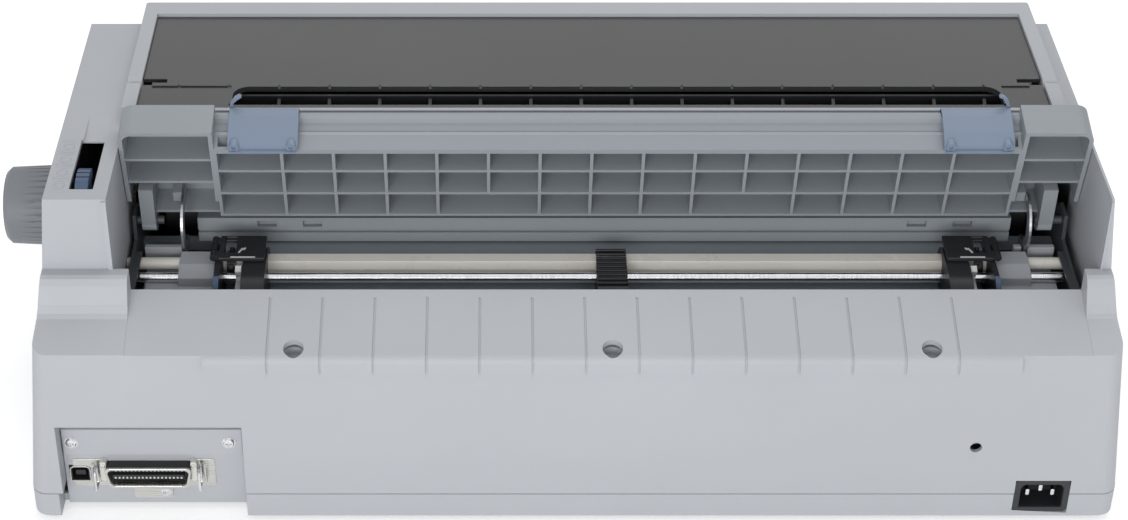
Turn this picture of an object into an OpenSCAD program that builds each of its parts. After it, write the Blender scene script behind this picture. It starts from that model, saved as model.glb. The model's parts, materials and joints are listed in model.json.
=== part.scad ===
// Wide-carriage dot matrix printer: +X is the knob side, +Y is the rear, +Z is up.
// Pieces are laid out from the middle of the casing, then shifted so that the origin
// is at the middle of the whole printer, on the surface that it stands on.

/* [Casing] */
// Width of the casing at its parting line
case_w = 606; // [596:1:620]
// Depth of the casing from front to rear
case_d = 402; // [396:1:412]
// Height of the top deck
deck_z = 188; // [184:1:192]
// Height of the parting line between the two halves of the casing
parting_z = 20; // [18:1:22]
// Inward lean of the side walls, per unit of height
side_draft = 0.105; // [0.09:0.005:0.11]
// Radius of the upright corners
corner_r = 9; // [6:1:12]
// Wall thickness of the casing
wall = 2.5; // [2:0.1:3]
// Thickness of the rubber feet
foot_h = 3; // [2.5:0.1:4]
// Radius of a rubber foot
foot_r = 9; // [7:1:11]

/* [Rear opening] */
// Distance of the rear opening from the left side of the casing
well_left = 19; // [18.5:0.5:21]
// Distance of the rear opening from the right side of the casing
well_right = 51.5; // [51:0.5:54]
// Depth of the rear opening from front to rear
well_d = 78; // [76:1:80]
// Depth of the sloping shoulder behind the opening
shoulder_d = 43; // [40:1:46]
// Height of the step from the deck down to the shoulder
shoulder_step = 45; // [41:1:47]
// Depth over which the shoulder curves down to the paper table
shoulder_run = 20; // [18:0.5:23]
// Width of the ledge inside each shoulder
cheek_w = 8.5; // [7:0.5:10]
// Height of the paper table at its front edge
table_z = 129.4; // [127:0.2:131]
// Fall of the paper table towards the rear
table_fall = 13; // [11:0.5:15]
// Spacing of the grooves, ribs and ticks across the printer
pitch = 28.5; // [27:0.5:30]
// Width of a groove in the paper table
groove_w = 1.4; // [1:0.1:2]
// Radius of the screw pockets in the lip of the table
pocket_r = 5.5; // [4.5:0.5:6]
// How far the lip of the table stands out from the rear panel
lip_out = 2.5; // [2:0.1:3]

/* [Printer cover] */
// Height of the cover frame above the deck
frame_h = 8; // [7:0.5:9]
// Distance of the cover frame from the left side of the casing
frame_left = 28; // [27:0.5:30]
// Distance of the cover frame from the right side of the casing
frame_right = 50; // [49.5:0.5:52]
// Width of the side bars of the cover frame
frame_bar = 8; // [7:0.5:9]
// Depth of the level top of the cover, in front of its hinge
cover_top_d = 86.5; // [80:0.5:90]
// Depth of the fixed exit cover behind the hinge
exit_cover_d = 34; // [33:0.5:36]
// How far the window sits below the top of the frame
window_sink = 2; // [1.5:0.1:2.5]
// Depth of the front bar of the cover frame
front_bar = 14; // [11:0.5:16]
// Thickness of the smoked panels
window_t = 2.5; // [2:0.1:3]
// How far the cover opens
cover_open_deg = 60; // [50:5:60]

/* [Rear cover] */
// Depth of the rear cover box
rear_cover_t = 22; // [20:0.5:23]
// Height of the cover ears above the hinge
ear_u = 71.4; // [68:0.2:73]
// Height of the top rib above the hinge
rib_u = 58.5; // [56:0.5:60]
// Lean of the raised cover towards the rear
cover_lean_deg = 13.5; // [12:0.5:15]
// Width of the ear at the knob side
ear_w = 52; // [48:1:56]
// Width of the ear at the other side
ear_left_w = 38; // [34:1:42]
// Thickness of the ribs
rib_t = 1.8; // [1.4:0.1:2.2]
// Width of an edge guide
edge_guide_w = 38.5; // [36:0.5:44]

/* [Tractors] */
// Distance of the square shaft in front of the edge of the table
square_shaft_in = 45; // [44:0.5:46]
// Height of the square shaft
square_shaft_z = 115; // [114:0.5:116]
// Width across the flats of the square shaft
square_w = 8; // [7:0.5:8.5]
// Distance between the square shaft and the round guide shaft
shaft_gap = 12.5; // [12:0.5:13.5]
// Radius of the round guide shaft
guide_shaft_r = 3; // [2.5:0.25:3.5]
// Width of a tractor
tractor_w = 28; // [26:1:30]
// Middle of the right tractor, from the right side frame
tractor_right_in = 61; // [61:1:72]
// Middle of the left tractor, from the left side frame
tractor_left_in = 56; // [56:1:64]
// Middle of the paper support
support_x = -21; // [-40:1:0]

/* [Platen and feed] */
// Distance of the platen axis in front of the square shaft
platen_in = 79; // [78:0.5:81]
// Height of the platen axis
platen_z = 102; // [100:0.5:104]
// Radius of the platen
platen_r = 18; // [16:0.5:19]
// Radius of the platen shaft
platen_shaft_r = 5; // [4:0.5:6]
// Radius of the platen knob
knob_r = 25; // [22:0.5:26]
// How far the knob reaches past the widest part of the casing
knob_reach = 30; // [26:1:33]
// Teeth of the platen gear
platen_teeth = 40; // [40:4:44]
// Teeth of the idler gear
idler_teeth = 44; // [40:4:48]
// Teeth of the tractor gear
tractor_teeth = 32; // [28:4:36]
// Teeth of the feed motor pinion
pinion_teeth = 18; // [17:1:20]
// Width of the gears
gear_w = 5; // [4:0.5:5.5]

/* [Print mechanism] */
// Radius of the carriage rod
rod_r = 6; // [5:0.5:7]
// Width of the carriage
carriage_w = 62; // [56:1:70]
// Radius of the belt pulleys
pulley_r = 8; // [7:0.5:9]
// Travel of the carriage to each side
carriage_travel = 170; // [140:5:175]

/* [Connectors] */
// Distance of the connector recess from the right side of the casing
recess_right = 18; // [16:0.5:20]
// Room in the connector recess to the left of the parallel socket
recess_left = 54.5; // [53.5:0.5:58]
// Height of the top of the connector recess
recess_z = 67; // [64:1:70]
// Depth of the connector recess
recess_d = 12; // [10:0.5:13]
// Width of the shell of the parallel socket
parallel_w = 46.6; // [46:0.1:48]
// Width of the power inlet bezel
inlet_w = 30.4; // [30:0.1:31]
// Height of the power inlet bezel
inlet_h = 22; // [21:0.5:23]

/* [Controls] */
// Width of the lever slot in the deck
slot_w = 13; // [12:0.5:14]
// Length of the lever slot in the deck
slot_l = 50; // [46:1:54]
// Width of a push button
button_w = 16; // [12:1:20]

/* [Hidden] */
$fn = 48;

// Clearances: running fit on a shaft, moving face to moving face, seated face
fit = 0.05;
gap = 0.5;
seat = 0.2;
over = 1;

// Sides of the rear opening and of the cover frame
well_x0 = well_left - case_w / 2;
well_x1 = case_w / 2 - well_right;
frame_x0 = frame_left - case_w / 2;
frame_x1 = case_w / 2 - frame_right;

// Main stations from front to rear
rear_y = case_d / 2;
front_y = -rear_y;
shoulder_y = rear_y - shoulder_d;
well_y = shoulder_y - well_d;
shoulder_z = deck_z - shoulder_step;
table_low_z = table_z - table_fall;
case_z = foot_h;
frame_z = deck_z + frame_h;
window_z = frame_z - window_sink;
hinge = [well_y - exit_cover_d - 3.5, deck_z - 4];
deck_front_y = hinge[0] - cover_top_d + 12;
slope_rise = 88;
ledge_rise = 8;
ledge_run = 25;
nose_run = 11;
ledge_low = [front_y + nose_run, deck_z - slope_rise - ledge_rise];
slope_low = ledge_low + [ledge_run, ledge_rise];
slope_run = deck_front_y - slope_low[0];
cover_front_y = hinge[0] - cover_top_d;

// Distances of the stay arms and of the inner ends of the shaft brackets from the
// side frames, at the left and at the right
stay_in = [21, 27];
bracket_in = [41.5, 45.5];

// Shafts, as [y, z]
drive = [shoulder_y - square_shaft_in, square_shaft_z];
guide_at = [drive[0] + shaft_gap, square_shaft_z - 1];
platen_at = [drive[0] - platen_in, platen_z];
rear_hinge = [well_y + 12.5, table_z + 1.6];
rod_at = [platen_at[0] - platen_r - 38, platen_z - 16];
lever_at = [shoulder_y - 32, deck_z - 100];

// Side frames, inside the walls of the opening
plate_t = 2;
plate_right_x = well_x1 - 4.5;
plate_left_x = well_x0 + 5;
mech_x0 = plate_left_x + plate_t;
mech_x1 = plate_right_x;
gear_x = well_x1 + wall + 1;
tractor_left_x = mech_x0 + tractor_left_in;
tractor_right_x = mech_x1 - tractor_right_in;

// Gears on the line from the platen to the tractor shaft
shaft_run = drive - platen_at;
gear_line_deg = atan2(shaft_run[1], shaft_run[0]);
gear_m = 2 * norm(shaft_run) / (platen_teeth + 2 * idler_teeth + tractor_teeth);
platen_gear_r = gear_m * platen_teeth / 2;
idler_gear_r = gear_m * idler_teeth / 2;
pinion_r = gear_m * pinion_teeth / 2;
idler_at = platen_at + (platen_gear_r + idler_gear_r) * [cos(gear_line_deg), sin(gear_line_deg)];
pinion_deg = gear_line_deg - 360 / idler_teeth * 12;
pinion_at = idler_at + (idler_gear_r + pinion_r) * [cos(pinion_deg), sin(pinion_deg)];

// Colours
case_grey = [0.70, 0.72, 0.745];
cover_grey = [0.55, 0.575, 0.59];
guide_blue = [0.49, 0.57, 0.67];
smoke = [0.36, 0.36, 0.36];
soot = [0.10, 0.10, 0.11];
steel = [0.62, 0.63, 0.65];

// The range from a to b, measured inward from a side wall: side 0 is left, side 1 is right
function inward(x, side, a, b) = side ? [x - b, x - a] : [x + a, x + b];
function side_x(z) = case_w / 2 - side_draft * (z - parting_z);

// A box from its ranges
module box(x, y, z)
    translate([x[0], y[0], z[0]]) cube([x[1] - x[0], y[1] - y[0], z[1] - z[0]]);

// A [y, z] outline drawn out along X
module prism_x(x, outline)
    translate([x[0], 0, 0]) rotate([90, 0, 90]) linear_extrude(x[1] - x[0]) polygon(outline);

// A [x, z] outline drawn out along Y
module prism_y(y, outline)
    translate([0, y[1], 0]) rotate([90, 0, 0]) linear_extrude(y[1] - y[0]) polygon(outline);

// A round bar along X at [y, z]
module bar_x(x, at, r)
    translate([x[0], at[0], at[1]]) rotate([0, 90, 0]) cylinder(r = r, h = x[1] - x[0]);

// A round bar along Y at [x, z]
module bar_y(y, at, r)
    translate([at[0], y[1], at[1]]) rotate([90, 0, 0]) cylinder(r = r, h = y[1] - y[0]);

// A bar along X with half-round ends, between two levels [y, z] at one height
module stadium_x(x, from, to, r) {
    bar_x(x, from, r);
    bar_x(x, to, r);
    box(x, [from[0], to[0]], [from[1] - r, from[1] + r]);
}

// A plate with rounded corners, half width hx and half depth hy
module round_plate(hx, hy, r, z, t)
    translate([0, 0, z]) linear_extrude(t) hull()
        for (sx = [-1, 1], sy = [-1, 1])
            translate([sx * (hx - r), sy * (hy - r)]) circle(r = r, $fn = 32);

// The drafted block of the casing, inset by t, between two heights
module casing_block(t, z0, z1) {
    skin = 0.01;
    hull() {
        round_plate(side_x(z0) - t, rear_y - t, max(corner_r - t, 1), z0, skin);
        round_plate(side_x(z1) - t, rear_y - t, max(corner_r - t, 1), z1 - skin, skin);
    }
}

// Height of the paper table at y, lowered by t
function table_at(y, t = 0) = table_z - t - table_fall * (y - shoulder_y) / shoulder_d;

// Side outline of the upper casing, inset by t
function upper_outline(t) = [
    [front_y - over, parting_z - over], [front_y + t * 1.02, parting_z + 5],
    [ledge_low[0] + t * 0.9, ledge_low[1] - t], [slope_low[0] + t * 0.4, slope_low[1] - t],
    [deck_front_y + t * 0.3, deck_z - t], [shoulder_y - t, deck_z - t],
    [shoulder_y - t, shoulder_z - t], for (p = shoulder_curve) p - t * [0.8, 0.8],
    [rear_y - t, table_low_z + outer_rise - t], [rear_y - t, parting_z - over]];

// The shoulder's curve, level at first and then sinking to the table, as [y, z]
outer_rise = 0.3;
shoulder_curve = [for (i = [0 : 6]) let (y = shoulder_y + shoulder_run * (0.3 + 0.7 * i / 6),
    low = table_at(y) + outer_rise) [y, low + (shoulder_z - low) * (1 + cos(30 * i)) / 2]];

// Where the connector recess lies
usb_w = 12;
socket_flange = 9;
socket_gap = 0.7;
usb_side = 8.5;
recess_right_x = case_w / 2 - recess_right;
usb_x = recess_right_x - usb_side;
parallel_x = usb_x - usb_w / 2 - socket_gap - socket_flange - parallel_w / 2;
recess_x = [parallel_x - recess_left, recess_right_x];
recess_y = rear_y - recess_d;
inlet_in = 42.5;
inlet_at = [inlet_in - case_w / 2, parting_z - 2];

module casing_cuts() {
    cheek_x = [well_x0 + cheek_w, well_x1 - cheek_w];
    // Above the paper table, between the cheeks
    prism_x(cheek_x, [[shoulder_y - over, table_at(shoulder_y - over)],
        [rear_y + over, table_at(rear_y + over)], [rear_y + over, deck_z + over],
        [shoulder_y - over, deck_z + over]]);
}

module inside_of_table() {
    // Room under the table and the cheeks, inside the shell
    prism_x([well_x0 - wall, well_x1 + wall], [[shoulder_y - 2 * over, table_at(shoulder_y, wall)],
        [rear_y - wall, table_at(rear_y, wall)], [rear_y - wall, deck_z + over],
        [shoulder_y - 2 * over, deck_z + over]]);
}

lever_slot_x = [well_x1 + 8, well_x1 + 8 + slot_w];
lever_slot_y = [shoulder_y - 10 - slot_l, shoulder_y - 10];

module upper_case() color(case_grey) {
    lid_x = [frame_x0 + frame_bar - 1.2, frame_x1 - frame_bar + 1.2];
    difference() {
        union() {
            difference() {
                intersection() {
                    casing_block(0, parting_z, deck_z);
                    prism_x([-case_w, case_w], upper_outline(0));
                }
                casing_cuts();
                // Inside of the shell
                difference() {
                    intersection() {
                        casing_block(wall, parting_z - 0.02, deck_z - wall);
                        prism_x([-case_w, case_w], upper_outline(wall));
                    }
                    inside_of_table();
                }
                // Rear opening
                box([well_x0, well_x1], [well_y, shoulder_y], [parting_z, deck_z + over]);
                // Openings under the printer cover and the exit cover
                box(lid_x, [slope_low[0] + 20, hinge[0] + 6], [parting_z, deck_z + over]);
                box([window_x[0] + 3, window_x[1] - 3], [hinge[0], exit_rear_y],
                    [parting_z, deck_z + over]);
                // Seat of the cover hinge arc
                bar_x([frame_x0, frame_x1], hinge, frame_z - hinge[1] + 1);
            }
            // Walls of the rear opening
            for (x = [[max(well_x0 - wall, 0.4 - side_x(deck_z)), well_x0], [well_x1, well_x1 + wall]])
                difference() {
                    box(x, [well_y - wall, shoulder_y + over], [table_z - 25, deck_z - wall / 2]);
                    for (at = [drive, idler_at])
                        bar_x([well_x1 - over, well_x1 + wall + over], at, square_w / 2 + 1);
                }
            box([well_x0 - wall, well_x1 + wall], [well_y - wall, well_y],
                [deck_z - 12, deck_z]);
            // Front skirt of the paper table
            box([well_x0, well_x1], [shoulder_y, shoulder_y + wall], [table_z - 12, table_z - 1]);
            // Ends of the cheeks
            for (x = [[well_x0 - wall, well_x0 + cheek_w], [well_x1 - cheek_w, well_x1 + wall]])
                prism_x(x, [[shoulder_y, table_z - 12], [shoulder_y + wall, table_z - 12],
                    for (i = [6 : -1 : 0]) shoulder_curve[i] - [0, 0.5],
                    [shoulder_y, shoulder_z - 0.5]]);
            // Fixed rim beside the exit cover
            for (x = [[frame_x0, frame_x0 + frame_bar], [frame_x1 - frame_bar, frame_x1]])
                difference() {
                    box(x, [hinge[0], well_y - 3], [deck_z - 0.5, frame_z]);
                    bar_x([x[0] - over, x[1] + over], hinge, rim_r);
                }
            // Rim and ledges that carry the exit cover
            box([frame_x0, frame_x1], [exit_rear_y, well_y - 3], [deck_z - 0.5, window_z]);
            box([window_x[0] - 0.5, window_x[1] + 0.5], [exit_rear_y - 1.8, exit_rear_y + 0.1],
                [deck_z - 0.5, ledge_z]);
            for (s = [0, 1])
                box(inward(window_x[s], s, -0.5, 3), [hinge[0] + 14, exit_rear_y + 0.1],
                    [deck_z - 0.5, ledge_z]);
            // Hinge lugs and pins of the printer cover
            for (s = [0, 1]) {
                lug = inward(window_x[s], s, 0.7, 4);
                bar_x(lug, hinge, lug_r);
                box(lug, [hinge[0], hinge[0] + 18],
                    [hinge[1] - lug_r, hinge[1] + 1]);
                box(lug, [hinge[0] + 14, hinge[0] + 18],
                    [hinge[1] - lug_r, ledge_z]);
                bar_x(inward(window_x[s], s, 3, 12), hinge, 2);
            }
            // Lip at the rear of the table, and blocks under its screw pockets
            lip();
            for (x = pocket_x)
                box([x - pocket_r - wall, x + pocket_r + wall],
                    [rear_y - 2 * pocket_r - wall - 1, rear_y - over],
                    [table_low_z - pocket_d - wall, table_low_z - 2]);
            // Bearings of the power switch
            for (s = [-1, 1])
                box([switch_at[0] + s * (switch_w / 2 + gap + 1.5) - 1.5,
                    switch_at[0] + s * (switch_w / 2 + gap + 1.5) + 1.5],
                    [front_y + 5, front_y + 13], [switch_at[2] - 4, switch_at[2] + 4]);
        }
        // Grooves in the table
        for (i = [-7 : 6])
            prism_x([groove_x(i) - groove_w / 2, groove_x(i) + groove_w / 2],
                [[shoulder_y + 5, table_at(shoulder_y + 5) - 0.9],
                [lip_at[0], table_at(lip_at[0]) - 0.9],
                for (a = [75 : -15 : 0]) lip_at + (lip_r - 0.9) * [cos(a), sin(a)],
                [lip_at[0] + lip_r - 0.9, table_low_z - 12], [rear_y + 2 * lip_out, table_low_z - 12],
                [rear_y + 2 * lip_out, table_z + 3], [shoulder_y + 5, table_z + 3]]);
        // Screw pockets in the lip
        for (x = pocket_x)
            translate([x, rear_y - pocket_r + 0.8, table_low_z - pocket_d])
                cylinder(r = pocket_r, h = 30);
        // Connector recess, open at the bottom
        box(recess_x, [recess_y - 0.2, rear_y + over], [parting_z - over, recess_z]);
        // Power inlet
        inlet_hole();
        // Lever slot and the finger recess in front of it
        box(lever_slot_x, lever_slot_y, [deck_z - 8, deck_z + over]);
        prism_x([lever_slot_x[0] - 1.5, lever_slot_x[1] - 1],
            [[lever_slot_y[0] - 24, deck_z + 0.02], [lever_slot_y[0] + 0.5, deck_z - 1.8],
            [lever_slot_y[0] + 0.5, deck_z + over], [lever_slot_y[0] - 24, deck_z + over]]);
        // Holes for the platen shaft and the small hole in the rear panel
        bar_x([case_w / 2 - 30, case_w / 2 + over], platen_at, platen_shaft_r + 1.5);
        bar_y([rear_y - 5, rear_y + over], [hole_in - case_w / 2, recess_z - 14], hole_r);
        // Openings for the buttons and the power switch
        for (i = [-1, 0, 1]) button_shape(i, gap, 12);
        switch_opening();
        bar_x([switch_at[0] - switch_w, switch_at[0] + switch_w], switch_pin_at, switch_pin_r + fit);
    }
    recess_walls();
}

module inlet_hole()
    box([inlet_at[0] - inlet_w / 2 - seat, inlet_at[0] + inlet_w / 2 + seat],
        [rear_y - 12, rear_y + over],
        [inlet_at[1] - inlet_h / 2 - seat, inlet_at[1] + inlet_h / 2 + seat]);

groove_mid = -4.5;
function groove_x(i) = groove_mid + i * pitch;
pocket_x = [for (i = [-6.5, -0.5, 5.5]) groove_x(i)];
pocket_d = 6;
hole_in = 83;
hole_r = 3.3;
lug_r = 5;

// The lip of the paper table: its rounded nose stands out from the rear panel
lip_x = [well_x0 + 46, well_x1 - 50.5];
lip_r = 6;
lip_deg = atan2(table_fall, shoulder_d);
lip_at = [rear_y + lip_out - lip_r, table_at(rear_y + lip_out - lip_r) - lip_r / cos(lip_deg)];
module lip() {
    intersection() {
        bar_x(lip_x, lip_at, lip_r);
        box([lip_x[0] - over, lip_x[1] + over], [lip_at[0], rear_y + lip_out + over],
            [lip_at[1] - lip_r, lip_at[1] + 2 * lip_r]);
    }
    box(lip_x, [rear_y - wall - 1, rear_y + lip_out], [table_low_z - 11, lip_at[1]]);
}

// Top and side walls of the connector recess, with the rear panel cut back around them
module recess_walls() {
    t = wall;
    box([recess_x[0] - t, recess_x[1] + t], [recess_y - 0.2, rear_y - wall / 2],
        [recess_z, recess_z + t]);
    for (x = [[recess_x[0] - t, recess_x[0]], [recess_x[1], recess_x[1] + t]])
        box(x, [recess_y - 0.2, rear_y - wall / 2], [parting_z, recess_z + t]);
}

module lower_case() color(case_grey) {
    // Rounding at the floor, and the shadow gap below the upper half
    inset = 1;
    gap_d = 0.8;
    gap_h = 0.7;
    cut_x = [recess_x[0], recess_x[1] + wall];
    cut_y = panel_y[0] - seat;
    difference() {
        union() {
            hull() {
                round_plate(case_w / 2 - inset, rear_y - inset, corner_r, case_z, 0.01);
                round_plate(case_w / 2, rear_y, corner_r, case_z + inset, 0.01);
                round_plate(case_w / 2, rear_y, corner_r, parting_z - gap_h - 0.01, 0.01);
            }
            round_plate(case_w / 2 - gap_d, rear_y - gap_d, corner_r - gap_d,
                parting_z - gap_h - 0.01, gap_h);
        }
        hull() {
            round_plate(case_w / 2 - inset - wall, rear_y - inset - wall, corner_r, case_z + wall, 0.01);
            round_plate(case_w / 2 - wall, rear_y - wall, corner_r - wall, parting_z + over, 0.01);
        }
        box(cut_x, [cut_y, rear_y + over], [-over, parting_z + over]);
        inlet_hole();
    }
    // Walls beside the connector recess and a sill in front of its panel
    for (x = [[cut_x[0] - wall, cut_x[0]], [cut_x[1], cut_x[1] + wall]])
        box(x, [cut_y - wall, rear_y - 3], [case_z + wall - 0.5, parting_z]);
    box([cut_x[0] - wall, cut_x[1] + wall], [cut_y - wall, cut_y], [case_z + 0.5, case_z + 5]);
    // Posts that carry the chassis
    for (x = chassis_post_x, y = chassis_post_y)
        translate([x, y, case_z + wall - 0.5])
            cylinder(r = 6, h = chassis_z - case_z - wall + 0.5);
}

foot_at = [for (sx = [-1, 1], sy = [-1, 1])
    [sx * (case_w / 2 - 40), sy * (rear_y - 42), 0]];

module rubber_feet() color(soot)
    for (p = foot_at) translate(p) rotate_extrude()
        polygon([[0, 0], [foot_r - 1, 0], [foot_r, 1], [foot_r, foot_h], [0, foot_h]]);

chassis_z = case_z + 7;
chassis_t = 1.5;
chassis_x = [mech_x0 - plate_t, mech_x1 + plate_t];
chassis_y = [front_y + 55, rear_y - 30];
chassis_post_x = [chassis_x[0] + 20, 0, chassis_x[1] - 20];
chassis_post_y = [chassis_y[0] + 16, chassis_y[1] - 16];
chassis_top = chassis_z + chassis_t;

module chassis_plate() color(steel) {
    box(chassis_x, chassis_y, [chassis_z, chassis_top]);
    // Post and axle of the idler pulley
    post = [mech_cx + pulley_run, belt_at[1]];
    box([post[0] - 6, post[0] + 6], [belt_y[0] - 6, belt_y[0] - 2], [chassis_top - 0.5, post[1] + 4]);
    bar_y([belt_y[0] - 3, belt_y[1] + 2], post, 2.5);
    for (y = [[chassis_y[0], chassis_y[0] + chassis_t], [chassis_y[1] - chassis_t, chassis_y[1]]])
        box(chassis_x, y, [chassis_top, chassis_top + 4]);
}

// Outline of a side frame
function side_outline() = [
    [chassis_y[0] + 10, chassis_top], [shoulder_y - 10, chassis_top],
    [shoulder_y - 10, square_shaft_z + 4], [rear_hinge[0] + 8, square_shaft_z + 8],
    [rear_hinge[0] + 7, rear_hinge[1] + 7], [rear_hinge[0] - 7, rear_hinge[1] + 7],
    [rear_hinge[0] - 14, platen_z + platen_r + 10], [platen_at[0], platen_z + platen_r + 14],
    [platen_at[0] - 30, platen_z + platen_r + 6], [chassis_y[0] + 46, platen_z + platen_r + 2],
    [chassis_y[0] + 10, rod_at[1] - 16]];

module side_frame(x, pin_side) color([0.30, 0.32, 0.33]) {
    span = [x[0] - over, x[1] + over];
    difference() {
        prism_x(x, side_outline());
        bar_x(span, platen_at, platen_shaft_r + fit);
        bar_x(span, drive, square_w / 2 - 0.5 + fit);
        if (pin_side < 0) bar_x(span, pinion_at, 5);
    }
    // Pin of the rear cover
    pin = pin_side > 0 ? [x[1], x[1] + 15] : [x[0] - 15, x[0]];
    bar_x(pin, rear_hinge, 2.5);
    // Flange along the tractors
    flange = pin_side > 0 ? [x[0], x[1] + 3.5] : [x[0] - 3.5, x[1]];
    box(flange, [drive[0] - 4, shoulder_y - 10], [square_shaft_z + 4, square_shaft_z + 5.5]);
}

module side_frame_right() {
    side_frame([plate_right_x, plate_right_x + plate_t], -1);
    // Stub axles of the idler gear and the release lever
    color([0.30, 0.32, 0.33]) {
        bar_x([plate_right_x + plate_t, gear_x + gear_w + 1], idler_at, 3);
        bar_x([plate_right_x + plate_t, lever_x[1] + 1], lever_at, 3);
    }
}

module side_frame_left() side_frame([plate_left_x, plate_left_x + plate_t], 1);

// ---- Printer cover ----

cover_slope_run = slope_run - 21;
window_y = cover_front_y + front_bar;
cover_slope_fall = cover_slope_run * slope_rise / slope_run;

window_x = [frame_x0 + frame_bar, frame_x1 - frame_bar];
ledge_z = window_z - window_t - seat;

module printer_cover() color(case_grey) {
    t = 2.6;
    foot_y = cover_front_y - cover_slope_run;
    foot_z = slope_low[1] + (foot_y - slope_low[0]) * slope_rise / slope_run + gap;
    difference() {
        union() {
            difference() {
                prism_x([frame_x0, frame_x1], [
                    [hinge[0], deck_z + gap], [hinge[0], frame_z],
                    [cover_front_y, frame_z], [foot_y, frame_z - cover_slope_fall],
                    [foot_y, foot_z], [deck_front_y - 0.3, deck_z + gap]]);
                // Hollow under the sloping front
                prism_x([window_x[0] - 4, window_x[1] + 4], [
                    [cover_front_y + 3, frame_z - t], [foot_y + t, frame_z - cover_slope_fall - t],
                    [foot_y + t, 0], [cover_front_y + 3, 0]]);
                // Window
                box(window_x, [window_y, hinge[0] + over], [0, frame_z + over]);
            }
            // Side bars rounded about the hinge
            for (x = [[frame_x0, window_x[0]], [window_x[1], frame_x1]])
                intersection() {
                    bar_x(x, hinge, frame_z - hinge[1]);
                    box(x, [hinge[0] - 0.01, hinge[0] + 20], [deck_z + gap, frame_z]);
                }
            // Ledges that carry the window
            for (s = [0, 1]) {
                edge = window_x[s];
                box(inward(edge, s, -0.7, 0.01), [window_y - over, hinge[0] - 8],
                    [ledge_z - 2.3, frame_z - 1]);
                box(inward(edge, s, -0.7, 4), [window_y - over, hinge[0] - 8],
                    [ledge_z - 2.3, ledge_z]);
                // Hinge ears under the window
                ear = inward(edge, s, 5, 12);
                box(ear, [hinge[0] - 14, hinge[0]], [hinge[1] - 3, ledge_z]);
                bar_x(ear, hinge, lug_r);
                box(inward(edge, s, 0, 12), [hinge[0] - 14, hinge[0] - 8],
                    [ledge_z - 2.3, ledge_z]);
            }
            box([window_x[0], window_x[1]], [window_y - 0.1, window_y + 4],
                [ledge_z - 2.3, ledge_z]);
        }
        bar_x([frame_x0, frame_x1], hinge, 2 + fit);
    }
}

// Smoked panel of the printer cover, with its rear edge rounded about the hinge
module smoked_window() color(smoke) {
    x = [window_x[0] + seat, window_x[1] - seat];
    box(x, [window_y + seat, hinge[0]], [window_z - window_t, window_z]);
    intersection() {
        bar_x(arc_x, hinge, arc_r);
        box(x, [hinge[0] - 0.01, hinge[0] + 20], [window_z - window_t, window_z]);
    }
}

// The rim ends where the corner of the opened cover clears it
rim_h = frame_z - hinge[1];
rim_r = gap + norm([rim_h * (1 - cos(cover_open_deg)) / sin(cover_open_deg), rim_h]);

// The rear edge of the window is an arc about the hinge, between the two hinge ears
arc_r = norm([6, window_z - hinge[1]]);
arc_x = [window_x[0] + 14, window_x[1] - 14];
exit_rear_y = well_y - 6;
exit_slot_x = [groove_x(-8) - 8.5, groove_x(7) - 3];
exit_slot_y = [hinge[0] + 10, well_y - 9];

// Fixed smoked panel with the paper exit slot and its ticked ridge
module exit_cover() color(smoke) {
    x = [window_x[0] + seat, window_x[1] - seat];
    corner = 9;
    difference() {
        union() {
            box(x, [hinge[0], exit_rear_y - seat], [window_z - window_t, window_z]);
            box([x[0] + 8, x[1] - 6], [hinge[0], hinge[0] + 9],
                [window_z - 1, window_z + 0.8]);
            box([exit_slot_x[0] - 1.5, exit_slot_x[1] + 1.5], [exit_slot_y[0] - 1.5, exit_slot_y[1]],
                [window_z - 1, window_z + 0.8]);
        }
        bar_x([x[0] - over, x[1] + over], hinge, arc_r + gap);
        // Exit slot with rounded front corners
        difference() {
            box(exit_slot_x, [exit_slot_y[0], exit_slot_y[1]], [0, frame_z]);
            for (s = [0, 1]) translate([exit_slot_x[s], exit_slot_y[0], 0]) difference() {
                translate([s ? -corner : 0, 0, 0]) cube([corner, corner, frame_z]);
                translate([s ? -corner : corner, corner, -over])
                    cylinder(r = corner, h = frame_z + 2 * over);
            }
        }
        // Ticks in the ridge
        for (i = [-8 : 8]) box([groove_x(i) - 0.6, groove_x(i) + 0.6],
            [hinge[0], hinge[0] + 10], [window_z - 0.6, frame_z]);
    }
}

// Black ribbed guide under the exit slot
module exit_rib_guide() color(soot) {
    x = [exit_slot_x[0] - 6, exit_slot_x[1] + 6];
    top = window_z - window_t - seat;
    y = [hinge[0] + arc_r + gap + 0.4, well_y - 8];
    difference() {
        box(x, y, [top - 16, top]);
        box([exit_slot_x[0] - 1.5, exit_slot_x[1] + 1.5], [y[0] + 2, y[1] - 2], [top - 17, top + over]);
    }
    for (i = [-8 : 6]) prism_x([groove_x(i) - 0.9, groove_x(i) + 0.9],
        [[y[0] + 1, top - 15], [y[1] - 1, top - 15], [y[1] - 1, top - 8], [y[0] + 1, top - 1]]);
    // Feet that seat under the rim of the opening
    for (e = [[window_x[0] - 1, x[0] + 1], [x[1] - 1, window_x[1] + 1]])
        box(e, [y[1] - 9, y[1] - 1], [deck_z - wall - seat - 3, deck_z - wall - seat]);
}

// ---- Rear cover, drawn upright in its own frame: X across, -Y through, Z up from the hinge ----

module at_rear_hinge() translate([0, rear_hinge[0], rear_hinge[1]])
    rotate([-cover_lean_deg, 0, 0]) children();

cover_gap = 0.6;
cover_back = 1.8;
cover_face = cover_back - rear_cover_t;
cover_x = [well_x0 + cover_gap, well_x1 - cover_gap];
mid_x = [cover_x[0] + ear_left_w, cover_x[1] - ear_w];
rib_low = 5;
rib_step = (rib_u - rib_low) / 3;
skin_t = 2.4;
rail_u = rib_u + 8;

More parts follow.
